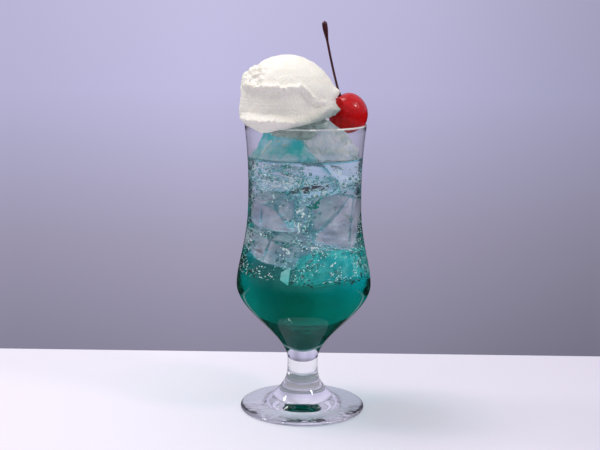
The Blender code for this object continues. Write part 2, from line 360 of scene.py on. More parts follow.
def ramp(tree, source, stops):
    """A colour ramp from stops of place and colour, or of place and share of light."""
    node = tree.nodes.new("ShaderNodeValToRGB")
    tree.links.new(source, node.inputs["Fac"])
    elements = node.color_ramp.elements
    elements.remove(elements[-1])
    for index, (where, tone) in enumerate(stops):
        stop = elements[0] if index == 0 else elements.new(where)
        stop.position = where
        stop.color = (*tone, 1.0) if isinstance(tone, tuple) else (tone, tone, tone, 1.0)
    return node.outputs["Color"]


def fade(tree, source, before, after=(0.0, 1.0), smooth=True):
    """A value that goes between the ends of after as the source goes between those of before."""
    node = tree.nodes.new("ShaderNodeMapRange")
    node.interpolation_type = "SMOOTHSTEP" if smooth else "LINEAR"
    tree.links.new(source, node.inputs["Value"])
    for socket, value in zip(("From Min", "From Max", "To Min", "To Max"), (*before, *after)):
        node.inputs[socket].default_value = value
    return node.outputs["Result"]


def own_place(tree):
    """Each point's place in the object's own space."""
    return tree.nodes.new("ShaderNodeTexCoord").outputs["Object"]


def split(tree, source):
    """The X, Y and Z of a vector."""
    node = tree.nodes.new("ShaderNodeSeparateXYZ")
    tree.links.new(source, node.inputs["Vector"])
    return node.outputs


def measure(tree, operation, source, other):
    """A Vector Math node that compares each point's vector with a fixed one."""
    node = tree.nodes.new("ShaderNodeVectorMath")
    node.operation = operation
    tree.links.new(source, node.inputs[0])
    node.inputs[1].default_value = other
    return node.outputs["Value"]


def let_light_through(tree, shader, tint):
    """Lets light from lamps and from matt surfaces straight through a clear material, tinted."""
    path = tree.nodes.new("ShaderNodeLightPath")
    clear = tree.nodes.new("ShaderNodeBsdfTransparent")
    clear.inputs["Color"].default_value = (*tint, 1.0)
    surface = shader.outputs["BSDF"]
    for ray in ("Is Diffuse Ray", "Is Shadow Ray"):
        surface = mix_shaders(tree, path.outputs[ray], surface, clear.outputs["BSDF"])
    tree.links.new(surface, tree.nodes["Material Output"].inputs["Surface"])


def mottle_group():
    """A mask of soft patches in the object's own space, from 0 to 1, built once for all materials."""
    name = "mottle"
    if name in bpy.data.node_groups:
        return bpy.data.node_groups[name]
    group = bpy.data.node_groups.new(name, "ShaderNodeTree")
    for socket in ("Scale", "Detail", "Contrast"):
        group.interface.new_socket(socket, in_out="INPUT", socket_type="NodeSocketFloat")
    group.interface.new_socket("Mask", in_out="OUTPUT", socket_type="NodeSocketFloat")
    inputs = group.nodes.new("NodeGroupInput")
    outputs = group.nodes.new("NodeGroupOutput")
    patches = group.nodes.new("ShaderNodeTexNoise")
    group.links.new(own_place(group), patches.inputs["Vector"])
    for socket in ("Scale", "Detail"):
        group.links.new(inputs.outputs[socket], patches.inputs[socket])
    centred = maths(group, "SUBTRACT", patches.outputs["Fac"], 0.5)
    stretched = maths(group, "MULTIPLY", centred, inputs.outputs["Contrast"])
    shifted = maths(group, "ADD", stretched, 0.5)
    limited = maths(group, "MINIMUM", maths(group, "MAXIMUM", shifted, 0.0), 1.0)
    group.links.new(limited, outputs.inputs["Mask"])
    return group


def mottle(tree, scale, detail=2.0, contrast=2.0):
    """Patches about one metre divided by scale across."""
    node = tree.nodes.new("ShaderNodeGroup")
    node.node_tree = mottle_group()
    for socket, value in (("Scale", scale), ("Detail", detail), ("Contrast", contrast)):
        node.inputs[socket].default_value = value
    return node.outputs["Mask"]


def add_bump(tree, height, depth):
    """Relief from a mask, depth metres from its lowest to its highest."""
    relief = tree.nodes.new("ShaderNodeBump")
    relief.inputs["Distance"].default_value = depth
    tree.links.new(height, relief.inputs["Height"])
    tree.links.new(relief.outputs["Normal"], tree.nodes["Principled BSDF"].inputs["Normal"])


def paint(tree, tone):
    """Gives the Principled shader its colour."""
    tree.links.new(tone, tree.nodes["Principled BSDF"].inputs["Base Color"])


def patched(tree, scale, tints, detail=2.0, contrast=2.0):
    """A colour in patches of two tints."""
    return blend(tree, "MIX", mottle(tree, scale, detail, contrast), *tints)


def matt_look(name, tints, scale, values, detail=2.0, relief=None):
    """Matter that light doesn't pass: soft patches of two tints, and relief of some scale and depth."""
    look, tree, _ = new_look(name, values)
    paint(tree, patched(tree, scale, tints, detail))
    if relief is not None:
        add_bump(tree, mottle(tree, relief[0]), relief[1])
    return look


def fill(tree, absorb):
    """Fills a material with matter that takes light: for each metre so much red, green and blue."""
    most = max(absorb)
    inside = tree.nodes.new("ShaderNodeVolumeAbsorption")
    inside.inputs["Color"].default_value = (*[1.0 - part / most for part in absorb], 1.0)
    inside.inputs["Density"].default_value = most
    tree.links.new(inside.outputs["Volume"], tree.nodes["Material Output"].inputs["Volume"])


def clear_look(
    name, index, tints=CLEAR, waves=(40.0, 0.0), shade=(1.0, 1.0, 1.0), absorb=None, frost=0.0, milk=0.0,
    patches=None,
):
    """Clear matter: glass, drink or ice.

    Its colour varies between two tints, softly or in clear-cut patches of a given scale, and is left to
    the caller if there are none. The waves are the scale and depth of its relief, and shade tints the
    light that goes straight through. Absorb is what each metre takes of red, green and blue, frost is the
    roughness, and milk the share of light that is scattered.
    """
    values = {"Roughness": frost, "IOR": index, "Transmission Weight": 1.0 - milk}
    look, tree, shader = new_look(name, values)
    soft = mottle(tree, waves[0])
    if patches is not None:
        paint(tree, patched(tree, patches, tints, detail=3.0, contrast=4.5))
    elif tints is not None:
        paint(tree, blend(tree, "MIX", soft, *tints))
    if waves[1] > 0.0:
        add_bump(tree, soft, waves[1])
    let_light_through(tree, shader, shade)
    if absorb is not None:
        fill(tree, absorb)
    return look


# Goblet

GLASS_TINTS = ((0.985, 0.995, 0.995), (1.0, 1.0, 1.0))

# The tint of wetted glass by height: the dark syrup below, deepened there by painted shade, and a painted
# teal line at the drink's level
SYRUP_AND_SHADE_TINTS = (
    (0.0380, (0.10, 0.48, 0.45)),
    (0.0560, (0.22, 0.62, 0.58)),
    (0.0730, (0.80, 0.97, 0.97)),
    (0.0880, (1.0, 1.0, 1.0)),
    (0.1559, (1.0, 1.0, 1.0)),
    (0.1563, (0.22, 0.68, 0.66)),
    (0.1575, (0.22, 0.68, 0.66)),
)

# A patch of painted shade on the wetted glass at the front, and below it the cone's glass: cloudy, and
# tinted the syrup's dark teal deepened by painted shade
SHADE_PATCH_PLACE = (-0.0030, -0.0370, 0.0715)
SHADE_PATCH_REACH = 0.0200
SHADE_PATCH_TINT = (0.50, 0.52, 0.42)
SHADED_CONE_TOP = 0.0600
SHADED_CONE_TINTS = ((0.0, 0.10, 0.075), (0.004, 0.16, 0.125))
DRY_SHADE = (0.93, 0.935, 0.945)
FOOT_SHADE = (0.78, 0.785, 0.82)
FOOT_TOP = 0.0070
LIP_HEIGHT = 0.1756

# Stretches of the lip that get a painted glint, as milky white glass, in degrees round the glass from its
# front; the rest of the lip is painted a little pale
LIP_GLINTS = ((4, 10), (30, 72), (118, 135), (170, 215), (262, 300))
DRY, WETTED, LIP, SOFT_LIP, FOOT, SHADED_CONE = range(6)


def tint_by_height(tree, stops):
    """A colour that changes with height, from stops of height in metres and colour."""
    low, high = stops[0][0], stops[-1][0]
    part = maths(tree, "SUBTRACT", split(tree, own_place(tree))["Z"], low)
    part = maths(tree, "DIVIDE", part, high - low)
    return ramp(tree, part, [((height - low) / (high - low), colour) for height, colour in stops])


def wetted_look():
    """Glass wetted by the drink: tinted by the syrup, darkened by painted shade lower down and in a patch
    at its front, and with a painted teal line at the level.
    """
    values = {"Roughness": 0.0, "IOR": GLASS_INDEX / DRINK_INDEX, "Transmission Weight": 1.0}
    look, tree, shader = new_look("wetted glass", values)
    streaks = mottle(tree, 34.0, detail=1.0, contrast=2.6)
    # The syrup's tint by height, with its painted shade and the painted teal line at the level
    syrup = tint_by_height(tree, SYRUP_AND_SHADE_TINTS)
    streaked = blend(tree, "MIX", streaks, syrup, blend(tree, "MULTIPLY", 1.0, syrup, syrup))
    # A patch of painted shade at the front
    away = measure(tree, "DISTANCE", own_place(tree), SHADE_PATCH_PLACE)
    nearness = fade(tree, away, (SHADE_PATCH_REACH, 0.3 * SHADE_PATCH_REACH))
    paint(tree, blend(tree, "MULTIPLY", nearness, streaked, SHADE_PATCH_TINT))
    let_light_through(tree, shader, (1.0, 1.0, 1.0))
    return look


def glass_looks():
    """The goblet's materials, in the order of its slots."""
    wetted_index = GLASS_INDEX / DRINK_INDEX
    return [
        clear_look("clear glass", GLASS_INDEX, GLASS_TINTS, waves=(45.0, 0.00003), shade=DRY_SHADE),
        wetted_look(),
        # The painted glint: milky white glass on the lip's glinting stretches
        clear_look("lip glass with painted glint", GLASS_INDEX, GLASS_TINTS, frost=0.20, milk=0.55),
        # The rest of the lip, painted a little pale
        clear_look("pale painted lip glass", GLASS_INDEX, GLASS_TINTS, frost=0.20, milk=0.22),
        clear_look("glass of the foot", GLASS_INDEX, GLASS_TINTS, waves=(80.0, 0.00014), shade=FOOT_SHADE),
        # The cone's glass: cloudy, and dark teal as the syrup deepened by painted shade
        clear_look("cloudy glass in painted cone shade", wetted_index, SHADED_CONE_TINTS, milk=0.5, patches=60.0),
    ]


def glass_slot(place):
    """The slot of the goblet's material at a place on it."""
    across = math.hypot(place.x, place.y)
    inside = across < 0.5 * (outer_radius(place.z) + inner_radius(place.z))
    turned = math.degrees(math.atan2(place.x, -place.y)) % 360.0
    if place.z > LIP_HEIGHT:
        return LIP if any(start < turned < end for start, end in LIP_GLINTS) else SOFT_LIP
    if inside and CAVITY_FLOOR - 0.0005 < place.z < DRINK_LEVEL + MENISCUS_RISE:
        # Below a height the cone's glass gets the painted shade
        return SHADED_CONE if place.z < SHADED_CONE_TOP else WETTED
    return FOOT if across > RECESS_RADIUS and place.z < FOOT_TOP else DRY


def glass():
    """The goblet, turned from its section, with a material for each part of it."""
    shape = turn(glass_outline(), GLASS_STEPS)
    for face in shape.faces:
        face.material_index = glass_slot(face.calc_center_median())
    return add_piece("goblet", shape, glass_looks(), ["glass"])


# Ice: each sunken block has its middle, the half sizes it had before it met the others, and its tilts

SUNKEN_ICE = {
    "ice_plate": ((0.0010, -0.0240, 0.1410), (0.0210, 0.0070, 0.0050), (12, -8, 4)),
    "ice_front_top": ((-0.0090, -0.0260, 0.1500), (0.0100, 0.0060, 0.0045), (20, 10, 14)),
    "ice_back_top": ((-0.0020, 0.0200, 0.1480), (0.0160, 0.0100, 0.0070), (-15, 16, 4)),
    "ice_middle_left": ((-0.0155, -0.0110, 0.1238), (0.0135, 0.0190, 0.0118), (8, -6, -12)),
    "ice_middle_right": ((0.0150, -0.0090, 0.1200), (0.0155, 0.0200, 0.0178), (-8, 13, 14)),
    "ice_low_left": ((-0.0170, -0.0110, 0.1040), (0.0125, 0.0170, 0.0085), (10, 16, 18)),
    "ice_low_right": ((0.0140, -0.0050, 0.0900), (0.0200, 0.0200, 0.0100), (-14, -14, -20)),
    "ice_back_low": ((-0.0080, 0.0215, 0.0990), (0.0180, 0.0100, 0.0120), (15, 18, 15)),
    "ice_back_middle": ((0.0120, 0.0210, 0.1230), (0.0160, 0.0100, 0.0130), (-16, -22, 24)),
    "ice_back_left": ((-0.0160, 0.0200, 0.1280), (0.0110, 0.0100, 0.0130), (14, 19, -22)),
}
FLOATING_ICE = ("ice_left", "ice_right")
SEAM_WIDTH = 0.0024
SEAM_START = 0.84
EDGE_SQUARENESS = 15.0
WALL_CLEARANCE = 0.0005
MELT_DEPTH = 0.0005
HOLLOW_DEPTH = 0.0016
HOLLOW_SCALE = 95.0
MELT_SCALE = 330.0
SUNK_DEPTH = 0.0008
STANDING_HOLLOW = 0.0022
STANDING_HOLLOW_SCALE = 150.0
STANDING_MELT_SCALE = 420.0
STANDING_SWELL = 0.0014
STANDING_ROUNDING = 22
ROOM_GAP = 0.00002


def floating_block(node):
    """A block that stands out of the drink, from its solid, with melted faces."""
    shape = bmesh.new()
    shape.from_mesh(frame["nodes"][node].data)
    bmesh.ops.remove_doubles(shape, verts=shape.verts, dist=1e-5)
    bmesh.ops.subdivide_edges(shape, edges=shape.edges[:], cuts=5, use_grid_fill=True)
    for _ in range(STANDING_ROUNDING):
        bmesh.ops.smooth_vert(
            shape, verts=shape.verts, factor=0.5, use_axis_x=True, use_axis_y=True, use_axis_z=True
        )
    shape.normal_update()
    for vert in shape.verts:
        hollow = STANDING_HOLLOW * uneven(vert.co, STANDING_HOLLOW_SCALE)
        melt = MELT_DEPTH * uneven(vert.co, STANDING_MELT_SCALE)
        vert.co += vert.normal * (STANDING_SWELL - hollow - melt)
    bmesh.ops.recalc_face_normals(shape, faces=shape.faces)
    return shape


def block_flats(name, floating):
    """The flats that bound a sunken block, each as a direction and its distance from the middle."""
    middle, half, tilts = SUNKEN_ICE[name]
    middle = Vector(middle)
    turned = Matrix.Identity(3)
    for axis, tilt in zip("XYZ", tilts):
        turned = Matrix.Rotation(math.radians(tilt), 3, axis) @ turned
    flats = [(turned.col[axis] * side, half[axis]) for axis in range(3) for side in (-1, 1)]
    for other, (place, *_) in SUNKEN_ICE.items():
        if other != name:
            away = Vector(place) - middle
            flats.append((away.normalized(), 0.5 * (away.length - SEAM_WIDTH)))
    for tree in floating:
        nearest, _, _, distance = tree.find_nearest(middle)
        flats.append(((nearest - middle).normalized(), distance - 0.5 * SEAM_WIDTH))
    flats.append((Vector((0, 0, 1)), DRINK_LEVEL - SUNK_DEPTH - middle.z))
    if min(distance for _, distance in flats) <= 0.0:
        raise ValueError(name + " has no room: its middle lies beyond a flat")
    return flats


def sunken_block(name, floating):
    """A block hewn by its flats out of a ball, with melted edges and faces, clear of the wall."""
    middle = Vector(SUNKEN_ICE[name][0])
    flats = block_flats(name, floating)
    shape = bmesh.new()
    bmesh.ops.create_icosphere(shape, subdivisions=5, radius=1.0)
    seam = shape.verts.layers.float.new("seam")
    for vert in shape.verts:
        way = vert.co.normalized()
        nearness = sorted(max(flat.dot(way), 0.0) / distance for flat, distance in flats)
        vert[seam] = ease((nearness[-2] / nearness[-1] - SEAM_START) / (1.0 - SEAM_START))
        reach = sum(part**EDGE_SQUARENESS for part in nearness)
        vert.co = middle + way * reach ** (-1 / EDGE_SQUARENESS)
    shape.normal_update()
    for vert in shape.verts:
        hollow = HOLLOW_DEPTH * uneven(vert.co, HOLLOW_SCALE)
        melt = MELT_DEPTH * uneven(vert.co, MELT_SCALE)
        vert.co -= vert.normal * (hollow + melt)
        across = math.hypot(vert.co.x, vert.co.y)
        most = inner_radius(vert.co.z) - WALL_CLEARANCE
        if across > most:
            vert.co.x *= most / across
            vert.co.y *= most / across
    bmesh.ops.recalc_face_normals(shape, faces=shape.faces)
    return shape


def all_blocks():
    """The standing blocks and the sunken ones, by name."""
    floating = {node: floating_block(node) for node in FLOATING_ICE}
    trees = [BVHTree.FromBMesh(block) for block in floating.values()]
    sunken = {name: sunken_block(name, trees) for name in SUNKEN_ICE}
    return floating, sunken


# Drink

# The slot of the drink's faces that meet the air, and the depth within which faces that look up do
AGAINST_AIR = 1
SURFACE_DEPTH = 0.0001


def drink_outline():
    """The drink's section: into the glass's wall by a little, and up the wall at its edge."""
    line = [(radius + WALL_REACH, height - WALL_REACH) for radius, height in cavity_line(90)]
    top = DRINK_LEVEL + MENISCUS_RISE
    wall = [(radius, height) for radius, height in line if height < top - MENISCUS_LEAD]
    wall[0] = (0.0, wall[0][1])
    edge = inner_radius(top) + WALL_REACH
    heights = [DRINK_LEVEL + MENISCUS_RISE * math.exp(-step / MENISCUS_REACH) for step in MENISCUS_STEPS]
    surface = [(edge - step, height) for step, height in zip(MENISCUS_STEPS, heights)]
    return wall + surface + [(0.0, DRINK_LEVEL)]


def cut_to_layer(shape, bottom, top):
    """Keeps what lies between two slanted borders, and closes the cuts."""
    for height, side in ((bottom, -1.0), (top, 1.0)):
        if not 0.0 < height < DRINK_LEVEL:
            continue
        result = bmesh.ops.bisect_plane(
            shape,
            geom=shape.verts[:] + shape.edges[:] + shape.faces[:],
            plane_co=(0, 0, height),
            plane_no=LAYER_SLANT * side,
            clear_outer=True,
        )
        rim = [part for part in result["geom_cut"] if isinstance(part, bmesh.types.BMEdge)]
        if rim:
            bmesh.ops.edgenet_fill(shape, edges=rim)
    bmesh.ops.recalc_face_normals(shape, faces=shape.faces)


def add_shape(shape, other):
    """Adds a copy of another bmesh to a bmesh."""
    mesh = bpy.data.meshes.new("part")
    other.to_mesh(mesh)
    shape.from_mesh(mesh)
    bpy.data.meshes.remove(mesh)


def absorption(height):
    """What a metre of the drink at a height takes of red, green and blue."""
    dark = math.exp(-max(height - LAYER_HEIGHTS[1], 0.0) / MIXING_DEPTH)
    return PALE_ABSORPTION.lerp(DARK_ABSORPTION, dark)


def make_room(piece, blocks):
    """Cuts the room of the floating blocks out of the top layer."""
    rooms = bpy.data.collections.new("ice rooms")
    bpy.context.scene.collection.children.link(rooms)
    for name, block in blocks.items():
        mesh = bpy.data.meshes.new(name + " room")
        block.to_mesh(mesh)
        rooms.objects.link(bpy.data.objects.new(name + " room", mesh))
    change = piece.modifiers.new("ice", "BOOLEAN")
    change.operand_type = "COLLECTION"
    change.collection = rooms
    change.operation = "DIFFERENCE"
    change.solver = "EXACT"
    graph = bpy.context.evaluated_depsgraph_get()
    finished = bpy.data.meshes.new_from_object(piece.evaluated_get(graph))
    piece.modifiers.clear()
    piece.data = finished
    for room in list(rooms.objects):
        bpy.data.objects.remove(room, do_unlink=True)
    bpy.data.collections.remove(rooms)


def drink_layer(index, floating, sunken, bubbles):
    """One layer of the drink, hollowed by ice and bubbles. It replaces a solid of the drink."""
    bottom, top = LAYER_HEIGHTS[index:index + 2]
    highest = top >= DRINK_LEVEL
    absorb = absorption(DRINK_LEVEL if highest else 0.5 * (bottom + top))
    name = "drink_layer_" + str(index + 1)
    inside = clear_look(name + " against glass and ice", 1.0, absorb=absorb)
    free = clear_look(name + " against air", DRINK_INDEX, waves=(300.0, 0.00002), absorb=absorb)
    shape = turn(drink_outline(), DRINK_STEPS)
    cut_to_layer(shape, bottom, top if highest else top + LAYER_LAP)
    for face in shape.faces:
        if highest and face.normal.z > 0.3 and face.calc_center_median().z > DRINK_LEVEL - SURFACE_DEPTH:
            face.material_index = AGAINST_AIR
    slot, node = ("dark_drink", "drink_syrup") if index == 0 else ("pale_drink", "drink_soda")
    piece = add_piece(name, shape, [inside, free], [node])
    if highest:
        make_room(piece, floating)
    hollow_layer(piece, bottom, top, sunken, bubbles)


def hollow_layer(piece, bottom, top, sunken, bubbles):
    """Hollows a layer where sunken ice and bubbles lie in it, with faces turned inwards."""
    shape = bmesh.new()
    shape.from_mesh(piece.data)
    slope = LAYER_SLANT / LAYER_SLANT.z
    for block in sunken.values():
        heights = [vert.co.dot(slope) for vert in block.verts]
        if max(heights) < bottom or min(heights) > top:
            continue
        room = block.copy()
        cut_to_layer(room, bottom + LAYER_LAP, top)
        bmesh.ops.reverse_faces(room, faces=room.faces)
        add_shape(shape, room)
        room.free()
    own = [
        (place, radius)
        for place, radius in bubbles
        if bottom + 1.2 * radius < place.dot(slope) < top - 1.2 * radius
    ]
    add_balls(shape, own, hollow=True)
    shape.to_mesh(piece.data)
    shape.free()
    piece.data.shade_smooth()


def add_balls(shape, balls, hollow=False):
    """Adds balls in small batches, which is far faster than one by one. Hollow ones face inwards."""
    for start in range(0, len(balls), BATCH):
        batch = bmesh.new()
        for place, radius in balls[start:start + BATCH]:
            size = {"radius": radius, "matrix": Matrix.Translation(place)}
            if hollow:
                bmesh.ops.create_uvsphere(batch, u_segments=BALL_SIDES, v_segments=BALL_RINGS, **size)
            else:
                bmesh.ops.create_icosphere(batch, subdivisions=1, **size)
        if hollow:
            bmesh.ops.reverse_faces(batch, faces=batch.faces)
            for face in batch.faces:
                face.material_index = AGAINST_AIR
        add_shape(shape, batch)
        batch.free()


# Bubbles, froth and slivers: the froth is white matt specks that also paint the bubbles' glints, and the
# slivers are white marks that paint glints. Each band has its lowest and highest height, how many balls it
# holds, and which shares of them cling to the seams between the blocks, to the blocks' faces, and to the
# wall
BUBBLE_BANDS = (
    (0.1370, 0.1560, 460, 0.20, 0.25, 0.40),
    (0.1060, 0.1370, 270, 0.66, 0.16, 0.05),
    (0.0970, 0.1060, 240, 0.45, 0.20, 0.20),
    (0.0840, 0.0970, 560, 0.10, 0.25, 0.50),
)
RING_BANDS = ((0.0850, 0.1000, 110, 0.1, 0.2, 0.6), (0.1000, 0.1560, 70, 0.4, 0.2, 0.3))
FROTH_BANDS = (
    (0.1390, 0.1560, 1000, 0.25, 0.20, 0.45),
    (0.1080, 0.1390, 480, 0.90, 0.02, 0.02),
    (0.0980, 0.1080, 560, 0.60, 0.10, 0.10),
    (0.0870, 0.0980, 900, 0.15, 0.15, 0.60),
)
SPLINTER_BANDS = ((0.1360, 0.1540, 60, 0.3, 0.2, 0.3), (0.0940, 0.1360, 90, 0.8, 0.0, 0.0))

# Sizes: the smallest radius, what is added to it at most, and how rare the large ones are
BUBBLE_SIZES = (0.00034, 0.00080, 2.0)
RING_SIZES = (0.00070, 0.00060, 1.4)
FROTH_SIZES = (0.00014, 0.00040, 1.8)
SPLINTER_SIZES = (0.00060, 0.00110, 2.4)

# Crowds of bubbles: noise of this scale has to pass a draw between these two for one to be there
CROWDING_SCALE = 95.0
CROWDING = (-0.14, 0.24)

# The sides and rings of a hollow ball, the gap between balls, and how far they stay inside the drink
BALL_SIDES = 8
BALL_RINGS = 6
BUBBLE_GAP = 0.00005
SKIN = 0.0002

# How many balls are made at a time, and the cells in which their neighbours are looked up
BATCH = 60
CELL = 0.0020
CELL_STEPS = list(itertools.product((-1, 0, 1), repeat=3))

# The pale flake, a painted reflection in the drink: middle and size, how much it narrows, leans and is
# skewed
FLAKE = (Vector((-0.0106, -0.0302, 0.0896)), Vector((0.0046, 0.0008, 0.0105)))
FLAKE_TAPER = 0.42
FLAKE_LEAN = 0.10
FLAKE_SKEW = 0.0004


def cell_of(place):
    return tuple(int(part // CELL) for part in place)


def touches(taken, place, radius):
    """Whether a ball would touch one that has its place already."""
    home = cell_of(place)
    for step in CELL_STEPS:
        for other, size in taken.get(tuple(part + by for part, by in zip(home, step)), ()):
            if (place - other).length < radius + size + BUBBLE_GAP:
                return True
    return False


def likely_place(rng, band, radius, edges, faces):
    """A place in a band of height: in a seam, on a face of the ice, on the wall, or adrift."""
    low, high, _, on_edge, on_face, on_wall = band
    kind = rng.random()
    for share, spots in ((on_edge, edges), (on_face, faces)):
        if kind < share and spots:
            middle, normal = rng.choice(spots)
            return middle + normal * (radius + 2 * BUBBLE_GAP)
        kind -= share
    height = rng.uniform(low, high)
    turned = rng.uniform(0.0, 2 * math.pi)
    limit = inner_radius(height) - radius - SKIN
    across = limit if kind < on_wall else limit * math.sqrt(rng.random())
    return Vector((across * math.cos(turned), across * math.sin(turned), height))


def scatter(rng, bands, sizes, tree, edges, faces, taken):
    """Balls in bands of the drink, most of them on the wall and the ice, clear of what is there."""
    smallest, spread, rarity = sizes
    found = []
    for band in bands:
        near = [[spot for spot in spots if band[0] < spot[0].z < band[1]] for spots in (edges, faces)]
        for _ in range(band[2]):
            radius = smallest + spread * rng.random() ** rarity
            for _ in range(10):
                place = likely_place(rng, band, radius, *near)
                crowding = noise.noise(place * CROWDING_SCALE + Vector((1.7, 4.1, 0.6)))
                if crowding < rng.uniform(*CROWDING) or place.z > DRINK_LEVEL - radius - SKIN:
                    continue
                if math.hypot(place.x, place.y) > inner_radius(place.z) - radius - 0.5 * SKIN:
                    continue
                nearest, normal, _, distance = tree.find_nearest(place)
                if distance < radius + BUBBLE_GAP or (place - nearest).dot(normal) < 0:
                    continue
                if not touches(taken, place, radius):
                    taken.setdefault(cell_of(place), []).append((place, radius))
                    found.append((place, radius))
                    break
    return found


# White strokes on the standing ice, painted highlights along its edges, and frost on the right block for
# the last three: across, height, half length, half width, lean in degrees
HIGHLIGHT_AND_FROST_STROKES = (
    (-0.0215, 0.1652, 0.0052, 0.00110, 38),
    (-0.0240, 0.1612, 0.0040, 0.00090, 30),
    (-0.0122, 0.1652, 0.0024, 0.00070, 108),
    (-0.0160, 0.1672, 0.0030, 0.00060, 62),
    (-0.0195, 0.1625, 0.0020, 0.00050, 20),
    (0.0016, 0.1720, 0.0024, 0.00050, 78),
    (0.0036, 0.1735, 0.0014, 0.00035, 84),
    (0.0060, 0.1632, 0.0012, 0.00028, 80),
    (0.0240, 0.1622, 0.0022, 0.00032, -20),
    (0.0262, 0.1600, 0.0013, 0.00035, 30),
    (0.0215, 0.1650, 0.0016, 0.00028, 60),
)

# A thin line of bubbles that rises in the cone, drawn as white specks that paint their glints: its place
# across, heights, and the bubbles' radius
CONE_LINE = -0.0083
CONE_BUBBLES = (0.0530, 0.0560, 0.0605, 0.0650)
CONE_BUBBLE_RADIUS = 0.0003

# Folds just inside the wall, by kind: painted glints (white), painted shade (dark), painted shade at the
# glass's edges (deep), and the dark drink between the blocks with some painted edge shade (green). Each has
# its place across, height, half length, half width, and lean to the side in degrees, 0 being upright
FOLDS = {
    "white": (
        (-0.0022, 0.1268, 0.0032, 0.0018, -14), (-0.0032, 0.1186, 0.0036, 0.0011, 16),
        (-0.0105, 0.1054, 0.0034, 0.0008, -58), (-0.0085, 0.1030, 0.0020, 0.0010, -30),
        (0.0062, 0.1072, 0.0034, 0.0008, 80), (0.0165, 0.0968, 0.0026, 0.0006, 62),
        (-0.0280, 0.1520, 0.0024, 0.0008, 25), (-0.0120, 0.1445, 0.0030, 0.0007, 74),
        (0.0092, 0.1388, 0.0050, 0.0007, 84), (-0.0090, 0.1428, 0.0036, 0.0008, 70),
        (0.0290, 0.1545, 0.0012, 0.0005, 60),
    ),
    "dark": (
        (-0.0062, 0.1398, 0.0034, 0.0008, 76), (-0.0010, 0.1408, 0.0050, 0.0012, 80),
        (0.0042, 0.1418, 0.0050, 0.0012, 84), (0.0075, 0.1436, 0.0034, 0.0007, 96),
        (0.0115, 0.1424, 0.0030, 0.0010, 72), (0.0290, 0.1532, 0.0020, 0.0005, 52),
        (0.0014, 0.1185, 0.0026, 0.0005, 14), (0.0285, 0.1378, 0.0022, 0.0006, 24),
        (0.0292, 0.1160, 0.0030, 0.0007, 6),
    ),
    "green": (
        (0.0050, 0.1318, 0.0026, 0.0018, 40), (-0.0300, 0.1060, 0.0034, 0.0012, 24),
        (-0.0148, 0.1086, 0.0020, 0.0015, 60), (-0.0300, 0.1310, 0.0050, 0.0016, 6),
        (0.0318, 0.1080, 0.0050, 0.0010, -8), (0.0150, 0.1395, 0.0040, 0.0007, 60),
        (0.0085, 0.1340, 0.0060, 0.0014, 50), (-0.0080, 0.1090, 0.0050, 0.0012, 65),
    ),
    "deep": (
        (-0.0300, 0.1295, 0.0050, 0.0016, 4), (-0.0302, 0.1110, 0.0040, 0.0013, 20),
        (0.0320, 0.1085, 0.0050, 0.0011, -6), (-0.0335, 0.0900, 0.0050, 0.0020, 4),
        (-0.0290, 0.0905, 0.0034, 0.0024, 30), (0.0340, 0.0900, 0.0060, 0.0016, -4),
        (0.0318, 0.0975, 0.0050, 0.0014, -10), (-0.0322, 0.1010, 0.0044, 0.0011, 10),
    ),
}
FOLD_THICKNESS = 0.0004
FOLD_SHARDS = 7
FOLD_FINE = 0.0003
FOLD_DEPTH = 0.0012
FOLD_BLUNTNESS = (0.70, 1.0)

# Shards of a fold: how far each slides along it, its share of the fold's width and length, and its lean
SHARD_SLIDE = 0.75
SHARD_WIDTHS = (0.35, 0.75)
SHARD_LENGTHS = (0.18, 0.42)
SHARD_LEAN = 0.5
SLIVER_SHARES = Vector((0.30, 0.45, 1.0))
SLIVER_LEAN = 1.1
# Looks of the folds: the white one paints glints and is also the frost, the dark and deep ones paint shade,
# and the flake paints a reflection
FOLD_LOOKS = {
    "white": ("frost and painted glints", ((0.62, 0.84, 0.87), (0.97, 0.99, 1.0))),
    "dark": ("shaded ice", ((0.035, 0.040, 0.055), (0.10, 0.11, 0.14))),
    "green": ("syrup between ice and painted edge shade", ((0.0, 0.12, 0.10), (0.0, 0.32, 0.27))),
    "deep": ("painted shade at the glass's edges", ((0.0, 0.025, 0.022), (0.002, 0.10, 0.09))),
    "flake": ("painted reflection flake", ((0.30, 0.62, 0.60), (0.52, 0.80, 0.78))),
}
FOLD_KINDS = list(FOLD_LOOKS)

# A painted highlight, the white line along the rounded bottom of the lowest block: middle, half sizes, and
# its ends in degrees
BOTTOM_LINE = ((0.0120, 0.0985), (0.0205, 0.0115), (-95, -8))
BOTTOM_STROKE = (0.0040, 0.00026)
BOTTOM_STEP = 8


def front_of(trees, across, height):
    """The foremost point of some blocks' trees at a place across and a height, or nothing."""
    hits = [tree.ray_cast((across, -1.0, height), (0, 1, 0))[0] for tree in trees]
    return min((hit for hit in hits if hit is not None), key=lambda hit: hit.y, default=None)


def fold(shape, rng, place, half, lean, turned):
    """A mark of painted light or shade, of frost or of syrup: a small ball of flat faces, drawn out and
    leant over.
    """
    made = bmesh.ops.create_icosphere(shape, subdivisions=1, radius=1.0)
    for vert in made["verts"]:
        vert.co *= rng.uniform(*FOLD_BLUNTNESS)
    arrange(shape, made["verts"], half, (0, lean, turned), place)


def froth_and_painted_glints(balls):
    """The smallest bubbles, as white specks that also paint the bubbles' glints."""
    # White matt specks: fine bubbles, also painting glints
    look = matt_look("froth_and_painted_glints", ((0.70, 0.84, 0.88), (1.0, 1.0, 1.0)), 1400.0, {"Roughness": 0.25})
    shape = bmesh.new()
    add_balls(shape, balls)
    return add_piece("froth_and_painted_glints", shape, [look])


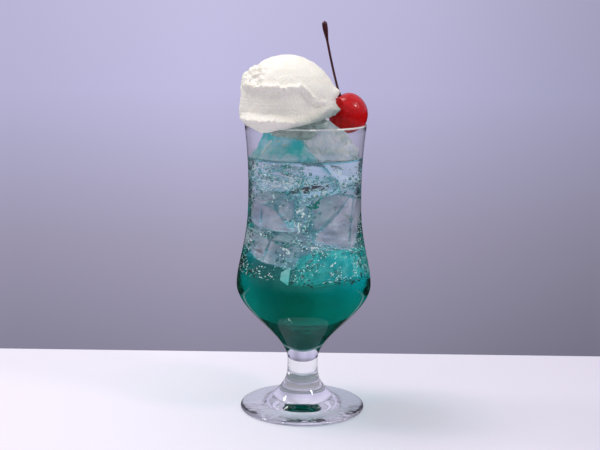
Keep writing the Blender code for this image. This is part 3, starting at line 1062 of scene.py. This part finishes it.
def wall_fold(shape, rng, kind, across, height, length, width, lean):
    """A fold that lies along the glass's wall, broken into shards."""
    leaning = math.radians(lean)
    before = len(shape.faces)
    for _ in range(FOLD_SHARDS if width > FOLD_FINE else 1):
        slide = rng.uniform(-SHARD_SLIDE, SHARD_SLIDE) * length
        drift = rng.uniform(-1.0, 1.0) * width
        spot = across + slide * math.sin(leaning) + drift * math.cos(leaning)
        level = height + slide * math.cos(leaning) - drift * math.sin(leaning)
        reach = inner_radius(level) - FOLD_DEPTH
        along = math.asin(max(-1.0, min(1.0, spot / reach)))
        half = (width * rng.uniform(*SHARD_WIDTHS), FOLD_THICKNESS, length * rng.uniform(*SHARD_LENGTHS))
        tilted = leaning + rng.uniform(-SHARD_LEAN, SHARD_LEAN)
        fold(shape, rng, (spot, -reach * math.cos(along), level), half, tilted, along)
    shape.faces.ensure_lookup_table()
    for face in shape.faces[before:]:
        face.material_index = FOLD_KINDS.index(kind)


def add_flake(shape):
    """The pale flake above the syrup, a painted reflection: a leaning slab that narrows to its left."""
    made = bmesh.ops.create_cube(shape, size=1.0)
    middle, size = FLAKE
    arrange(shape, made["verts"], size)
    for vert in made["verts"]:
        vert.co.z *= 1.0 if vert.co.x > 0 else FLAKE_TAPER
        vert.co.x += FLAKE_LEAN * vert.co.z + (FLAKE_SKEW if vert.co.y > 0 else 0.0)
    arrange(shape, made["verts"], middle=middle)
    for face in faces_of(made):
        face.material_index = FOLD_KINDS.index("flake")


def bottom_line(shape, rng):
    """A painted highlight: white strokes along the rounded bottom of the lowest block."""
    (across, height), (half_across, half_height), (start, end) = BOTTOM_LINE
    for degrees in range(start, end, BOTTOM_STEP):
        turned = math.radians(degrees)
        lean = math.degrees(math.atan2(-half_across * math.sin(turned), half_height * math.cos(turned)))
        place = (across + half_across * math.cos(turned), height + half_height * math.sin(turned))
        wall_fold(shape, rng, "white", *place, *BOTTOM_STROKE, lean)


def highlight_and_frost_strokes(shape, rng, floating):
    """White strokes on the front of the standing ice: painted highlights, and frost."""
    trees = [BVHTree.FromBMesh(block) for block in floating.values()]
    for across, height, length, width, lean in HIGHLIGHT_AND_FROST_STROKES:
        place = front_of(trees, across, height)
        if place is not None:
            fold(shape, rng, place, (width, FOLD_THICKNESS, length), math.radians(lean), 0.0)


def splinters(slivers, floating):
    """White slivers that paint glints, folds of painted light and shade and of syrup between the blocks,
    white strokes on the standing ice, and the pale flake above the syrup that paints a reflection.
    """
    rng = random.Random(5)
    shape = bmesh.new()
    # White slivers that paint glints in the drink
    for place, radius in slivers:
        lean = rng.uniform(-SLIVER_LEAN, SLIVER_LEAN)
        fold(shape, rng, place, SLIVER_SHARES * radius, lean, rng.uniform(0, math.pi))
    for kind, folds in FOLDS.items():
        for line in folds:
            wall_fold(shape, rng, kind, *line)
    bottom_line(shape, rng)
    highlight_and_frost_strokes(shape, rng, floating)
    add_flake(shape)
    looks = [matt_look(name, tints, 600.0, {"Roughness": 0.35}) for name, tints in FOLD_LOOKS.values()]
    return add_piece("frost_syrup_and_painted_light", shape, looks, smooth=False)


def clinging_places(floating, sunken):
    """A tree of all the blocks, and the places and normals of the sunken ones' seams and of all faces."""
    blocks = bmesh.new()
    for block in [*floating.values(), *sunken.values()]:
        add_shape(blocks, block)
    tree = BVHTree.FromBMesh(blocks)
    faces = [(face.calc_center_median(), face.normal.copy()) for face in blocks.faces]
    blocks.free()
    edges = []
    for block in sunken.values():
        seam = block.verts.layers.float["seam"]
        edges += [(vert.co.copy(), vert.normal.copy()) for vert in block.verts if vert[seam] > 0.5]
    return tree, edges, faces


def drink(floating, sunken):
    """The layers of the drink with its bubbles, its white specks that also paint glints, and its slivers
    and folds of painted light, shade and syrup.
    """
    places = clinging_places(floating, sunken)
    rng = random.Random(7)
    middle, size = FLAKE
    above = Vector((0, 0, 0.4 * size.z))
    taken = {cell_of(middle + above * step): [(middle, size.z / 2)] for step in (-1, 0, 1)}
    slivers = scatter(rng, SPLINTER_BANDS, SPLINTER_SIZES, *places, taken)
    bubbles = scatter(rng, RING_BANDS, RING_SIZES, *places, taken)
    bubbles += scatter(rng, BUBBLE_BANDS, BUBBLE_SIZES, *places, taken)
    balls = scatter(rng, FROTH_BANDS, FROTH_SIZES, *places, taken)
    for height in CONE_BUBBLES:
        reach = inner_radius(height) - 2 * CONE_BUBBLE_RADIUS
        balls.append((Vector((CONE_LINE, -math.sqrt(reach**2 - CONE_LINE**2), height)), CONE_BUBBLE_RADIUS))
    for index in range(len(LAYER_HEIGHTS) - 1):
        drink_layer(index, floating, sunken, bubbles)
    froth_and_painted_glints(balls)
    splinters(slivers, floating)


# Blocks whose faces look milky away from their seams, with a lavender that is partly painted backdrop light
PANELS = ("ice_middle_left", "ice_middle_right", "ice_low_left")
PANEL_SEAM = 0.4

# Looks of the ice: the tints and scale of its patches, its frost and milk, and its relief's scale and depth
STANDING_LOOKS = {
    "wet ice": (((0.74, 0.84, 0.92), (1.0, 1.0, 1.0)), 230.0, 0.10, 0.50, (300.0, 0.0006)),
    # The teal is painted light: the dark drink below seen through the ice
    "wet ice painted teal by the drink below": (
        ((0.07, 0.72, 0.73), (0.64, 0.92, 1.0)), 120.0, 0.10, 0.46, (190.0, 0.0008)
    ),
}
SUNKEN_LOOKS = {
    # Milky ice whose lavender also paints the backdrop's light seen through clear ice
    "milky ice with painted backdrop light": (((0.45, 0.48, 0.59), (0.80, 0.80, 0.90)), 90.0, 0.05, 0.34, (160.0, 0.0004)),
    # Cloudy ice painted a bright cyan: a painted glow of light under the blocks
    "cloudy ice with painted cyan glow": (((0.0, 0.66, 0.69), (0.20, 1.0, 1.0)), 140.0, 0.08, 0.36, (300.0, 0.00035)),
}
SUNK_WAVES = (420.0, 0.00035)
SEAM_TINT = (0.52, 0.92, 0.92)
SEAM_SPOTS = (0.06, 0.45, 0.42)

# The slots of a block's materials
ABOVE_DRINK, IN_DRINK, CRACKED, MILKY_PAINTED_PANEL = range(4)

# Cracks in the ice: the block, the crack's middle, its half sizes, and its tilts
CRACKS = (
    ("ice_plate", (0.0040, -0.0240, 0.1408), (0.0085, 0.0022, 0.00018), (16, 2, 4)),
    ("ice_middle_right", (0.0080, -0.0130, 0.1120), (0.0016, 0.0050, 0.00018), (10, 72, -20)),
    ("ice_middle_right", (0.0230, -0.0080, 0.1210), (0.0055, 0.0040, 0.00015), (-24, 40, 12)),
    ("ice_middle_left", (-0.0200, -0.0120, 0.1150), (0.0050, 0.0036, 0.00015), (20, -48, 18)),
    ("ice_front_top", (-0.0090, -0.0255, 0.1495), (0.0050, 0.0020, 0.00015), (24, 14, 8)),
)
CRACK_WAVE = 0.0010


def add_crack(shape, middle, half, tilts):
    """Hollows a thin wavy crack out of a block, with its faces turned inwards."""
    made = bmesh.ops.create_icosphere(shape, subdivisions=3, radius=1.0)
    for vert in made["verts"]:
        lift = CRACK_WAVE * noise.noise(vert.co * 1.7 + Vector(middle) * 900.0)
        vert.co = Vector((vert.co.x * half[0], vert.co.y * half[1], vert.co.z * half[2] + lift))
    arrange(shape, made["verts"], tilts=[math.radians(tilt) for tilt in tilts], middle=middle)
    faces = faces_of(made)
    bmesh.ops.reverse_faces(shape, faces=faces)
    for face in faces:
        face.material_index = CRACKED


def sunk_look():
    """Ice in the drink, tinted where it meets its neighbours, and spotted there with dark drink."""
    look = clear_look("sunk ice", SUNK_ICE_INDEX, tints=None, waves=SUNK_WAVES)
    tree = look.node_tree
    seam = tree.nodes.new("ShaderNodeAttribute")
    seam.attribute_name = "seam"
    spots = maths(tree, "MULTIPLY", seam.outputs["Fac"], mottle(tree, 110.0, detail=1.0, contrast=5.0))
    edged = blend(tree, "MIX", seam.outputs["Fac"], (1.0, 1.0, 1.0), SEAM_TINT)
    paint(tree, blend(tree, "MIX", spots, edged, SEAM_SPOTS))
    return look


def patchy_ice(looks, index):
    """Ice in clear-cut patches of two tints."""
    return [
        clear_look(name, index, tints, waves, frost=frost, milk=milk, patches=scale)
        for name, (tints, scale, frost, milk, waves) in looks.items()
    ]


def mark_faces(name, block):
    """Gives each face its slot: above the drink, in it, or in the milky middle of a panel, with painted
    backdrop light.
    """
    seam = block.verts.layers.float.get("seam")
    for face in block.faces:
        face.material_index = ABOVE_DRINK if face.calc_center_median().z > DRINK_LEVEL else IN_DRINK
        if name in PANELS and max(vert[seam] for vert in face.verts) < PANEL_SEAM:
            face.material_index = MILKY_PAINTED_PANEL


def ice(floating, sunken):
    """The standing blocks, which replace their solids, and the sunken ones."""
    wet, teal = patchy_ice(STANDING_LOOKS, STANDING_ICE_INDEX)
    milky, cloudy = patchy_ice(SUNKEN_LOOKS, SUNK_ICE_INDEX)
    sunk = sunk_look()
    crack = clear_look("crack in ice", ICE_INDEX)
    for name, block in {**floating, **sunken}.items():
        if name in floating:
            bmesh.ops.bisect_plane(
                block,
                geom=block.verts[:] + block.edges[:] + block.faces[:],
                plane_co=(0, 0, DRINK_LEVEL),
                plane_no=(0, 0, 1),
            )
        mark_faces(name, block)
        block.normal_update()
        for vert in block.verts:
            vert.co -= vert.normal * ROOM_GAP
        for owner, middle, half, tilts in CRACKS:
            if owner == name:
                add_crack(block, middle, half, tilts)
        # The left block is painted teal, light from the drink below
        above = teal if name == "ice_left" else wet
        # The lowest right block gets the painted cyan glow
        within = cloudy if name == "ice_low_right" else sunk
        looks = [above, within, crack, milky]
        replaced = [name] if name in floating else []
        add_piece(name + "_wet" if replaced else name, block, looks, replaced)


# Scoop

# Elevations in degrees of the lip and the ridge, and how far they change towards the right
LIP_ELEVATION = 22.4
LIP_DROP = 17.0
RIDGE_ELEVATION = -13.8
RIDGE_CLIMB = 14.3

# How deep the scraped panel lies, and how far the other forms stand out or in
PANEL_DEPTH = 0.0034
RIDGE_HEIGHT = 0.0010
LIP_OVERHANG = 0.0012
TUCK_DEPTH = 0.0024
CRUMB_DEPTH = 0.0026
EDGE_RAGGEDNESS = 0.0010
SCRAPE_DEPTH = 0.00022

# Lumps and pits of the scoop: how far each stands out, its elevation and spread, its side and spread
SCOOP_LUMPS = (
    (0.0016, 34.0, 12.0, -88.0, 30.0),
    (-0.0012, 4.0, 34.0, -92.0, 48.0),
    (0.0024, 16.0, 5.0, 84.0, 16.0),
    (-0.0016, 7.0, 4.0, 82.0, 14.0),
    (0.0017, -2.5, 3.0, 80.0, 9.0),
    (-0.0026, 5.0, 6.0, 40.0, 4.5),
    (-0.0012, 11.0, 3.0, 47.0, 4.0),
)
CREAM_TINTS = ((0.91, 0.88, 0.825), (0.96, 0.94, 0.90))
# The painted greenish shade at the lower right
PAINTED_SHADE_TINT = (0.36, 0.45, 0.42)


def ragged(side, waves, seed):
    """An uneven line round the scoop, about -1 to 1, with some waves to a radian."""
    turned = math.radians(side)
    return noise.noise(Vector((math.sin(turned) * waves + seed, math.cos(turned) * waves, seed)))


def beside(side, start, width):
    """Grows from 0 to 1 at the right of the scoop, and is 0 again behind it."""
    return ease((side - start) / width) * ease((172.0 - side) / 60.0)


def lip_at(side):
    """Elevation in degrees of the overhanging lip above the scraped panel."""
    drop = LIP_DROP * beside(side, 17.0, 24.0) + 1.8 * bump(side + 3.0, 6.0) - 1.6 * bump(side - 17.4, 5.0)
    return LIP_ELEVATION - drop + 1.3 * ragged(side, 12.0, 2.0) + 1.1 * ragged(side, 34.0, 7.0)


def ridge_at(side):
    """Elevation in degrees of the ridge below the scraped panel."""
    climb = RIDGE_CLIMB * beside(side, 22.0, 34.0) - 4.0 * beside(side, 56.0, 20.0)
    return RIDGE_ELEVATION + climb + 1.1 * ragged(side, 9.0, 4.0) + 0.8 * ragged(side, 31.0, 1.0)


def crumbs(direction):
    """Broken, grainy relief from 0 to about 1."""
    coarse = abs(noise.noise(direction * 6.5 + Vector((4.2, 0.9, 2.2))))
    fine = abs(noise.noise(direction * 6.5 * 2.3 + Vector((1.2, 6.9, 3.2))))
    return (1.0 - 1.6 * coarse) * 0.7 + 0.3 * (1.0 - 1.6 * fine)


def scoop_relief(direction):
    """How far the scoop's surface stands out from, or in from, its ball in one direction."""
    side = math.degrees(math.atan2(direction.x, -direction.y))
    height = math.degrees(math.asin(max(-1.0, min(1.0, direction.z))))
    lip = lip_at(side)
    ridge = ridge_at(side)
    front = ease((side + 84.0) / 26.0) * ease((56.0 - side) / 12.0)
    back = 0.6 * ease((abs(side) - 118.0) / 20.0)
    panel = (1.0 - math.exp(-max(lip - height, 0.0) / 4.2)) * ease((height - ridge) / 8.0)
    relief = -PANEL_DEPTH * (front + back) * panel
    relief += RIDGE_HEIGHT * bump(height - ridge, 2.6) * (0.4 + 0.6 * ease((80.0 - abs(side)) / 30.0))
    relief += LIP_OVERHANG * (front + back) * bump(height - lip - 2.2, 3.0)
    for amount, middle, spread, turned, width in SCOOP_LUMPS:
        relief += amount * bump(height - middle, spread) * bump(side - turned, width)
    relief -= TUCK_DEPTH * ease((ridge - height) / 18.0) * (0.4 + 0.6 * beside(side, -10.0, 60.0))
    broken = ease((-26.0 - side) / 22.0) * ease((side + 150.0) / 30.0) * ease((60.0 - height) / 16.0)
    broken *= ease((height - 8.0) / 14.0)
    broken += 0.45 * ease((abs(side) - 60.0) / 30.0) * ease((ridge + 6.0 - height) / 6.0)
    relief += CRUMB_DEPTH * broken * (crumbs(direction) - 0.60)
    edge = bump(height - lip, 3.0) + bump(height - ridge, 3.0)
    relief += EDGE_RAGGEDNESS * edge * noise.noise(direction * 24.0)
    scrapes = noise.noise(Vector((direction.x * 0.7, direction.y * 0.7 + 3.0, height * 0.8)))
    relief += SCRAPE_DEPTH * panel * scrapes
    soft = noise.noise(direction * 2.1 + Vector((3.1, 0.4, 7.7)))
    lumps = noise.noise(direction * 7.0 + Vector((0.3, 5.2, 1.9)))
    return relief + 0.0006 * soft + (0.0003 + 0.0005 * ease((ridge - height) / 6.0)) * lumps


def cream_look():
    """Grainy ice cream, with painted greenish shade at its lower right."""
    look, tree, _ = new_look("vanilla ice cream", {
        "Roughness": 0.5,
        "Subsurface Weight": 0.2,
        "Subsurface Radius": (1.0, 0.8, 0.6),
        "Subsurface Scale": 0.002,
    })
    # Painted shade: greenish towards the lower right
    painted_shade = fade(tree, measure(tree, "DOT_PRODUCT", own_place(tree), PAINTED_SHADE_WAY), PAINTED_SHADE_RANGE)
    grain = mottle(tree, 900.0, detail=4.0)
    paint(tree, blend(tree, "MIX", painted_shade, blend(tree, "MIX", grain, *CREAM_TINTS), PAINTED_SHADE_TINT))
    add_bump(tree, grain, 0.00025)
    return look


def scoop():
    """The scoop: a ball with its relief, cut by two slanted flats where it rests."""
    shape = bmesh.new()
    bmesh.ops.create_uvsphere(shape, u_segments=360, v_segments=210, radius=1.0)
    bases = [Vector((math.sin(tilt), 0.0, -math.cos(tilt))) for tilt in SCOOP_BASE_TILTS]
    for point in shape.verts:
        direction = point.co.normalized()
        point.co = direction * (SCOOP_RADIUS + scoop_relief(direction))
        point.co.z *= SCOOP_HEIGHT_RATIO
        point.co += SCOOP_CENTRE
        for down in bases:
            below = (point.co - SCOOP_KEEL).dot(down) + BASE_UNEVENNESS * uneven(point.co, 170.0)
            if below > 0.0:
                point.co -= down * below
    bmesh.ops.recalc_face_normals(shape, faces=shape.faces)
    return add_piece("scoop", shape, [cream_look()], ["ice_cream"])


# Melted cream that runs from the scoop onto the ice, coloured a greenish painted shade: middle and half
# sizes of each run
MELT_RUNS = (
    ((-0.0085, -0.0225, 0.1738), (0.0052, 0.0034, 0.0040)),
    ((-0.0150, -0.0235, 0.1732), (0.0048, 0.0030, 0.0024)),
    ((-0.0010, -0.0160, 0.1735), (0.0072, 0.0040, 0.0054)),
    ((0.0080, -0.0155, 0.1778), (0.0056, 0.0034, 0.0030)),
)


def melted_cream_in_painted_shade():
    """Thin cream that has run onto the ice under the scoop, in a greenish painted shade."""
    # Painted shade: greenish grey, not the cream's own colour
    tints = ((0.33, 0.43, 0.40), (0.52, 0.60, 0.57))
    look = matt_look("melted cream in painted shade", tints, 500.0, {"Roughness": 0.25}, relief=(700.0, 0.0001))
    shape = bmesh.new()
    for middle, half in MELT_RUNS:
        made = bmesh.ops.create_icosphere(shape, subdivisions=4, radius=1.0)
        for vert in made["verts"]:
            vert.co *= 1.0 + 0.25 * noise.noise(vert.co * 1.9 + Vector(middle) * 300.0)
        arrange(shape, made["verts"], half, middle=middle)
    return add_piece("melted_cream_in_painted_shade", shape, [look])


# Cherry

def cherry():
    """The cherry: a drawn-out ball with dimples at both ends, tilted."""
    tints = ((0.42, 0.0015, 0.003), (0.62, 0.004, 0.006))
    gloss = {"Roughness": 0.20, "Specular IOR Level": 0.20, "Coat Weight": 0.15, "Coat Roughness": 0.05}
    look = matt_look("cherry", tints, 420.0, gloss, detail=3.0, relief=(700.0, 0.00016))
    shape = bmesh.new()
    bmesh.ops.create_uvsphere(shape, u_segments=128, v_segments=80, radius=1.0)
    for point in shape.verts:
        direction = point.co.normalized()
        level = math.hypot(direction.x, direction.y)
        dimple = CHERRY_DIMPLE * bump(level, 0.30) * (1.0 if direction.z > 0 else 0.25)
        point.co = direction * (CHERRY_RADIUS - CHERRY_DENTS * uneven(direction, 5.5))
        point.co.z = point.co.z * CHERRY_STRETCH - math.copysign(dimple, direction.z)
    arrange(shape, shape.verts, tilts=(0, CHERRY_TILT, 0), middle=CHERRY_CENTRE)
    return add_piece("cherry_fruit", shape, [look], ["cherry"])


def stem_radius(part):
    """Radius along the stem: a flared base, a thin stalk, and a rounded club at its end."""
    flare = STEM_FLARE * bump(part, 0.06)
    club = (STEM_CLUB_RADIUS - STEM_RADIUS) * ease((part - CLUB_START) / CLUB_LENGTH)
    return STEM_RADIUS + flare + club


def stem():
    """The stem, slightly bowed, from the cherry's dimple to its club: rings bridged one to the next."""
    tints = ((0.022, 0.002, 0.006), (0.085, 0.010, 0.012))
    look = matt_look("cherry stem", tints, 260.0, {"Roughness": 0.35}, detail=3.0, relief=(900.0, 0.0001))
    upright = Matrix.Rotation(CHERRY_TILT, 3, "Y") @ Vector((0, 0, 1))
    base = CHERRY_CENTRE + upright * (CHERRY_RADIUS * CHERRY_STRETCH - CHERRY_DIMPLE - STEM_SINK)
    along = (STEM_TOP - base).normalized()
    sideways = (along.cross(Vector((0, 1, 0)))).normalized()
    turned = along.to_track_quat("Z", "Y").to_matrix().to_4x4()
    end_round = STEM_CLUB_RADIUS / (STEM_TOP - base).length
    shape = bmesh.new()
    ring = None
    for index in range(STEM_STEPS + 1):
        part = index / STEM_STEPS
        cap = min((1.0 - part) / end_round, 1.0)
        radius = max(stem_radius(part) * math.sqrt(max(1.0 - (1.0 - cap) ** 2, 0.0)), 0.0001)
        centre = base.lerp(STEM_TOP, part) + sideways * (STEM_BOW * 4.0 * part * (1.0 - part))
        ends = index in (0, STEM_STEPS)
        made = bmesh.ops.create_circle(shape, cap_ends=ends, segments=STEM_SIDES, radius=radius)
        bmesh.ops.transform(shape, verts=made["verts"], matrix=Matrix.Translation(centre) @ turned)
        edges = {edge for vert in made["verts"] for edge in vert.link_edges}
        loop = sorted(edges, key=lambda edge: edge.index)
        if ring is not None:
            bmesh.ops.bridge_loops(shape, edges=ring + loop)
        ring = loop
    bmesh.ops.recalc_face_normals(shape, faces=shape.faces)
    return add_piece("stalk", shape, [look], ["cherry_stem"])


# Stage: table, lights, backdrop and camera

TABLE_SIZE = (1.2, 0.60, 0.02)
TABLE_BACK = 0.115
TABLE_DROP = 0.0002

# How dark the table is in mirrors and by what share, and where it stays pale towards its back edge
TABLE_MIRRORED = 0.012
TABLE_DIMMED = 0.60
MIRRORED_EDGE = (0.105, 0.080)

# The table's tints from left to right, darker to the right as painted shade where less light falls, between
# these places, and the tone of its grain
TABLE_PAINTED_SHADE_TINTS = ((0.84, 0.815, 0.955), (0.68, 0.66, 0.80))
TABLE_SHADING = (-0.10, 0.25)
TABLE_GRAIN = (0.60, 0.60, 0.70)
TABLE_GRAIN_SHARE = 0.03


def table_look():
    """The pale table top, with painted shade making it darker to the right, and dark where the glass
    mirrors it.
    """
    look, tree, shader = new_look("table", {"Roughness": 0.6})
    place = split(tree, own_place(tree))
    # Painted shade: darker towards the right
    tone = blend(tree, "MIX", fade(tree, place["X"], TABLE_SHADING, smooth=False), *TABLE_PAINTED_SHADE_TINTS)
    grain = mottle(tree, 900.0, detail=3.0)
    paint(tree, blend(tree, "MIX", maths(tree, "MULTIPLY", grain, TABLE_GRAIN_SHARE), tone, TABLE_GRAIN))
    add_bump(tree, grain, 0.00003)
    path = tree.nodes.new("ShaderNodeLightPath").outputs
    direct = maths(tree, "MULTIPLY", path["Is Glossy Ray"], path["Is Reflection Ray"])
    direct = maths(tree, "MULTIPLY", direct, fade(tree, place["Y"], MIRRORED_EDGE, smooth=False))
    mirrored = maths(tree, "MINIMUM", path["Glossy Depth"], 1.0)
    mirrored = maths(tree, "MAXIMUM", maths(tree, "MULTIPLY", mirrored, TABLE_DIMMED), direct)
    dark = tree.nodes.new("ShaderNodeBsdfDiffuse")
    dark.inputs["Color"].default_value = (*[TABLE_MIRRORED] * 3, 1.0)
    surface = mix_shaders(tree, mirrored, shader.outputs["BSDF"], dark.outputs["BSDF"])
    tree.links.new(surface, tree.nodes["Material Output"].inputs["Surface"])
    return look


def table():
    """The table top, a flat slab whose back edge shows."""
    shape = bmesh.new()
    bmesh.ops.create_cube(shape, size=1.0)
    middle = (0.0, TABLE_BACK - TABLE_SIZE[1] / 2, -TABLE_SIZE[2] / 2 - TABLE_DROP)
    arrange(shape, shape.verts, TABLE_SIZE, middle=middle)
    link_shape("table", shape, [table_look()])


# Lamps: their places, widths, powers and colours
LAMPS = {
    "key": ((-0.35, 0.08, 1.05), 0.30, 3.3, (1.0, 0.97, 0.95)),
    "side": ((-0.70, 0.10, 0.80), 0.14, 1.4, (1.0, 0.97, 0.95)),
    "fill": ((0.64, -0.35, 0.80), 0.14, 1.9, (1.0, 0.98, 0.98)),
}
LAMP_TARGET = Vector((0.0, 0.0, 0.10))


def lamps():
    """Soft square lamps above the glass, turned to it."""
    for name, (place, width, power, colour) in LAMPS.items():
        data = bpy.data.lights.new(name, "AREA")
        data.shape = "SQUARE"
        data.size = width
        data.energy = power
        data.color = colour
        light = link(name, data)
        light.location = place
        light.rotation_euler = (LAMP_TARGET - Vector(place)).to_track_quat("-Z", "Y").to_euler()


def srgb(*values):
    """A colour given in the usual 0 to 255, as linear light."""
    parts = [value / 255 for value in values]
    return tuple(part / 12.92 if part <= 0.04045 else ((part + 0.055) / 1.055) ** 2.4 for part in parts)


# The wall's colours by elevation in degrees
BACKDROP = (
    (-90.0, (90, 88, 104)),
    (-16.5, (141, 137, 159)),
    (-11.0, (164, 159, 184)),
    (-4.0, (193, 190, 226)),
    (20.0, (214, 209, 238)),
    (90.0, (232, 230, 248)),
)

# The wall's light by degrees to the side
SIDE_DIMMING = (
    (-180, 0.90), (-28, 1.0), (-14, 0.87), (-5, 1.0), (5, 0.88),
    (14, 0.66), (20, 0.72), (32, 0.95), (180, 0.90),
)

# Curtains to either side: degrees from straight ahead, and the share of light that is left
CURTAIN_STOPS = (
    (42, 1.0), (50, 0.12), (70, 0.12), (76, 1.0),
    (106, 1.0), (114, 0.35), (122, 0.35), (130, 1.0),
)

# The wall's share of light where the glass mirrors it, by elevation in degrees
MIRRORED_ROOM = ((-90, 0.04), (-5, 0.04), (10, 0.85), (24, 0.85), (46, 1.0), (90, 1.0))

# Where the curtains end and the ceiling sets in, as the upward part of the way there
CURTAIN_TOP = (0.12, 0.03)
CEILING = (math.sin(math.radians(24.0)), math.sin(math.radians(48.0)))
CEILING_SEEN = 2.2

# The light that matt surfaces get, and its share near the horizon and at the ceiling
ROOM_LIGHT = (1.0, 0.965, 0.93)
ROOM_SHADING = (0.42, 0.85)


def by_slope(stops):
    """Stops of a ramp from elevations in degrees, -90 to 90."""
    return [(0.5 + 0.5 * math.sin(math.radians(slope)), tone) for slope, tone in stops]


def by_side(stops):
    """Stops of a ramp from sides in degrees, -180 to 180."""
    return [(0.5 + side / 360, share) for side, share in stops]


def backdrop():
    """The studio round the glass: a wall that darkens downwards and to the right, under a bright ceiling.

    What is seen through the glass also has two dark curtains beside it, which draw its edges, and what
    is mirrored in it has a dark wall. Matt surfaces get plain warm light from the ceiling.
    """
    world = bpy.data.worlds.new("studio")
    bpy.context.scene.world = world
    world.use_nodes = True
    tree = world.node_tree
    place = split(tree, tree.nodes.new("ShaderNodeTexCoord").outputs["Generated"])
    height = maths(tree, "ADD", maths(tree, "MULTIPLY", place["Z"], 0.5), 0.5)
    turned = maths(tree, "DIVIDE", maths(tree, "ARCTAN2", place["X"], place["Y"]), 2 * math.pi)
    turned = maths(tree, "ADD", turned, 0.5)
    path = tree.nodes.new("ShaderNodeLightPath").outputs
    inner = maths(tree, "MINIMUM", path["Glossy Depth"], 1.0)
    clear = maths(tree, "MULTIPLY", path["Is Transmission Ray"], maths(tree, "SUBTRACT", 1.0, inner))
    mirrored = maths(tree, "MULTIPLY", path["Is Glossy Ray"], path["Is Reflection Ray"])
    seen = maths(tree, "MAXIMUM", path["Is Glossy Ray"], path["Is Camera Ray"])
    wall = ramp(tree, height, by_slope([(slope, srgb(*tone)) for slope, tone in BACKDROP]))
    view = blend(tree, "MULTIPLY", 1.0, wall, ramp(tree, turned, by_side(SIDE_DIMMING)))
    below = fade(tree, place["Z"], CURTAIN_TOP, smooth=False)
    curtained = maths(tree, "MULTIPLY", maths(tree, "MAXIMUM", clear, mirrored), below)
    both_sides = [(-side, share) for side, share in CURTAIN_STOPS[::-1]] + list(CURTAIN_STOPS)
    view = blend(tree, "MULTIPLY", curtained, view, ramp(tree, turned, by_side(both_sides)))
    view = blend(tree, "MULTIPLY", clear, view, fade(tree, place["Z"], CEILING, (1.0, CEILING_SEEN)))
    view = blend(tree, "MULTIPLY", mirrored, view, ramp(tree, height, by_slope(MIRRORED_ROOM)))
    room = blend(tree, "MULTIPLY", 1.0, ROOM_LIGHT, fade(tree, place["Z"], CEILING, ROOM_SHADING))
    tree.links.new(blend(tree, "MIX", seen, room, view), tree.nodes["Background"].inputs["Color"])


def camera():
    """The camera, turned and rolled as the photograph was taken."""
    data = bpy.data.cameras.new("camera")
    data.sensor_width = 36.0
    data.lens = CAMERA_LENS
    eye = link("camera", data)
    eye.matrix_world = (
        Matrix.Translation(CAMERA_PLACE)
        @ Matrix.Rotation(CAMERA_TURN, 4, "Z")
        @ Matrix.Rotation(math.pi / 2 - CAMERA_PITCH, 4, "X")
        @ Matrix.Rotation(CAMERA_ROLL, 4, "Z")
    )
    bpy.context.scene.camera = eye


def light_paths():
    """Enough bounces for glass, drink and ice behind one another."""
    cycles = bpy.context.scene.cycles
    cycles.max_bounces = 40
    cycles.transmission_bounces = 40
    cycles.glossy_bounces = 12
    cycles.transparent_max_bounces = 64
    cycles.caustics_refractive = False
    cycles.caustics_reflective = False
    bpy.context.scene.view_settings.view_transform = "Standard"


camera()
light_paths()
table()
backdrop()
lamps()
glass()
floating_ice, sunken_ice = all_blocks()
drink(floating_ice, sunken_ice)
ice(floating_ice, sunken_ice)
scoop()
melted_cream_in_painted_shade()
cherry()
stem()
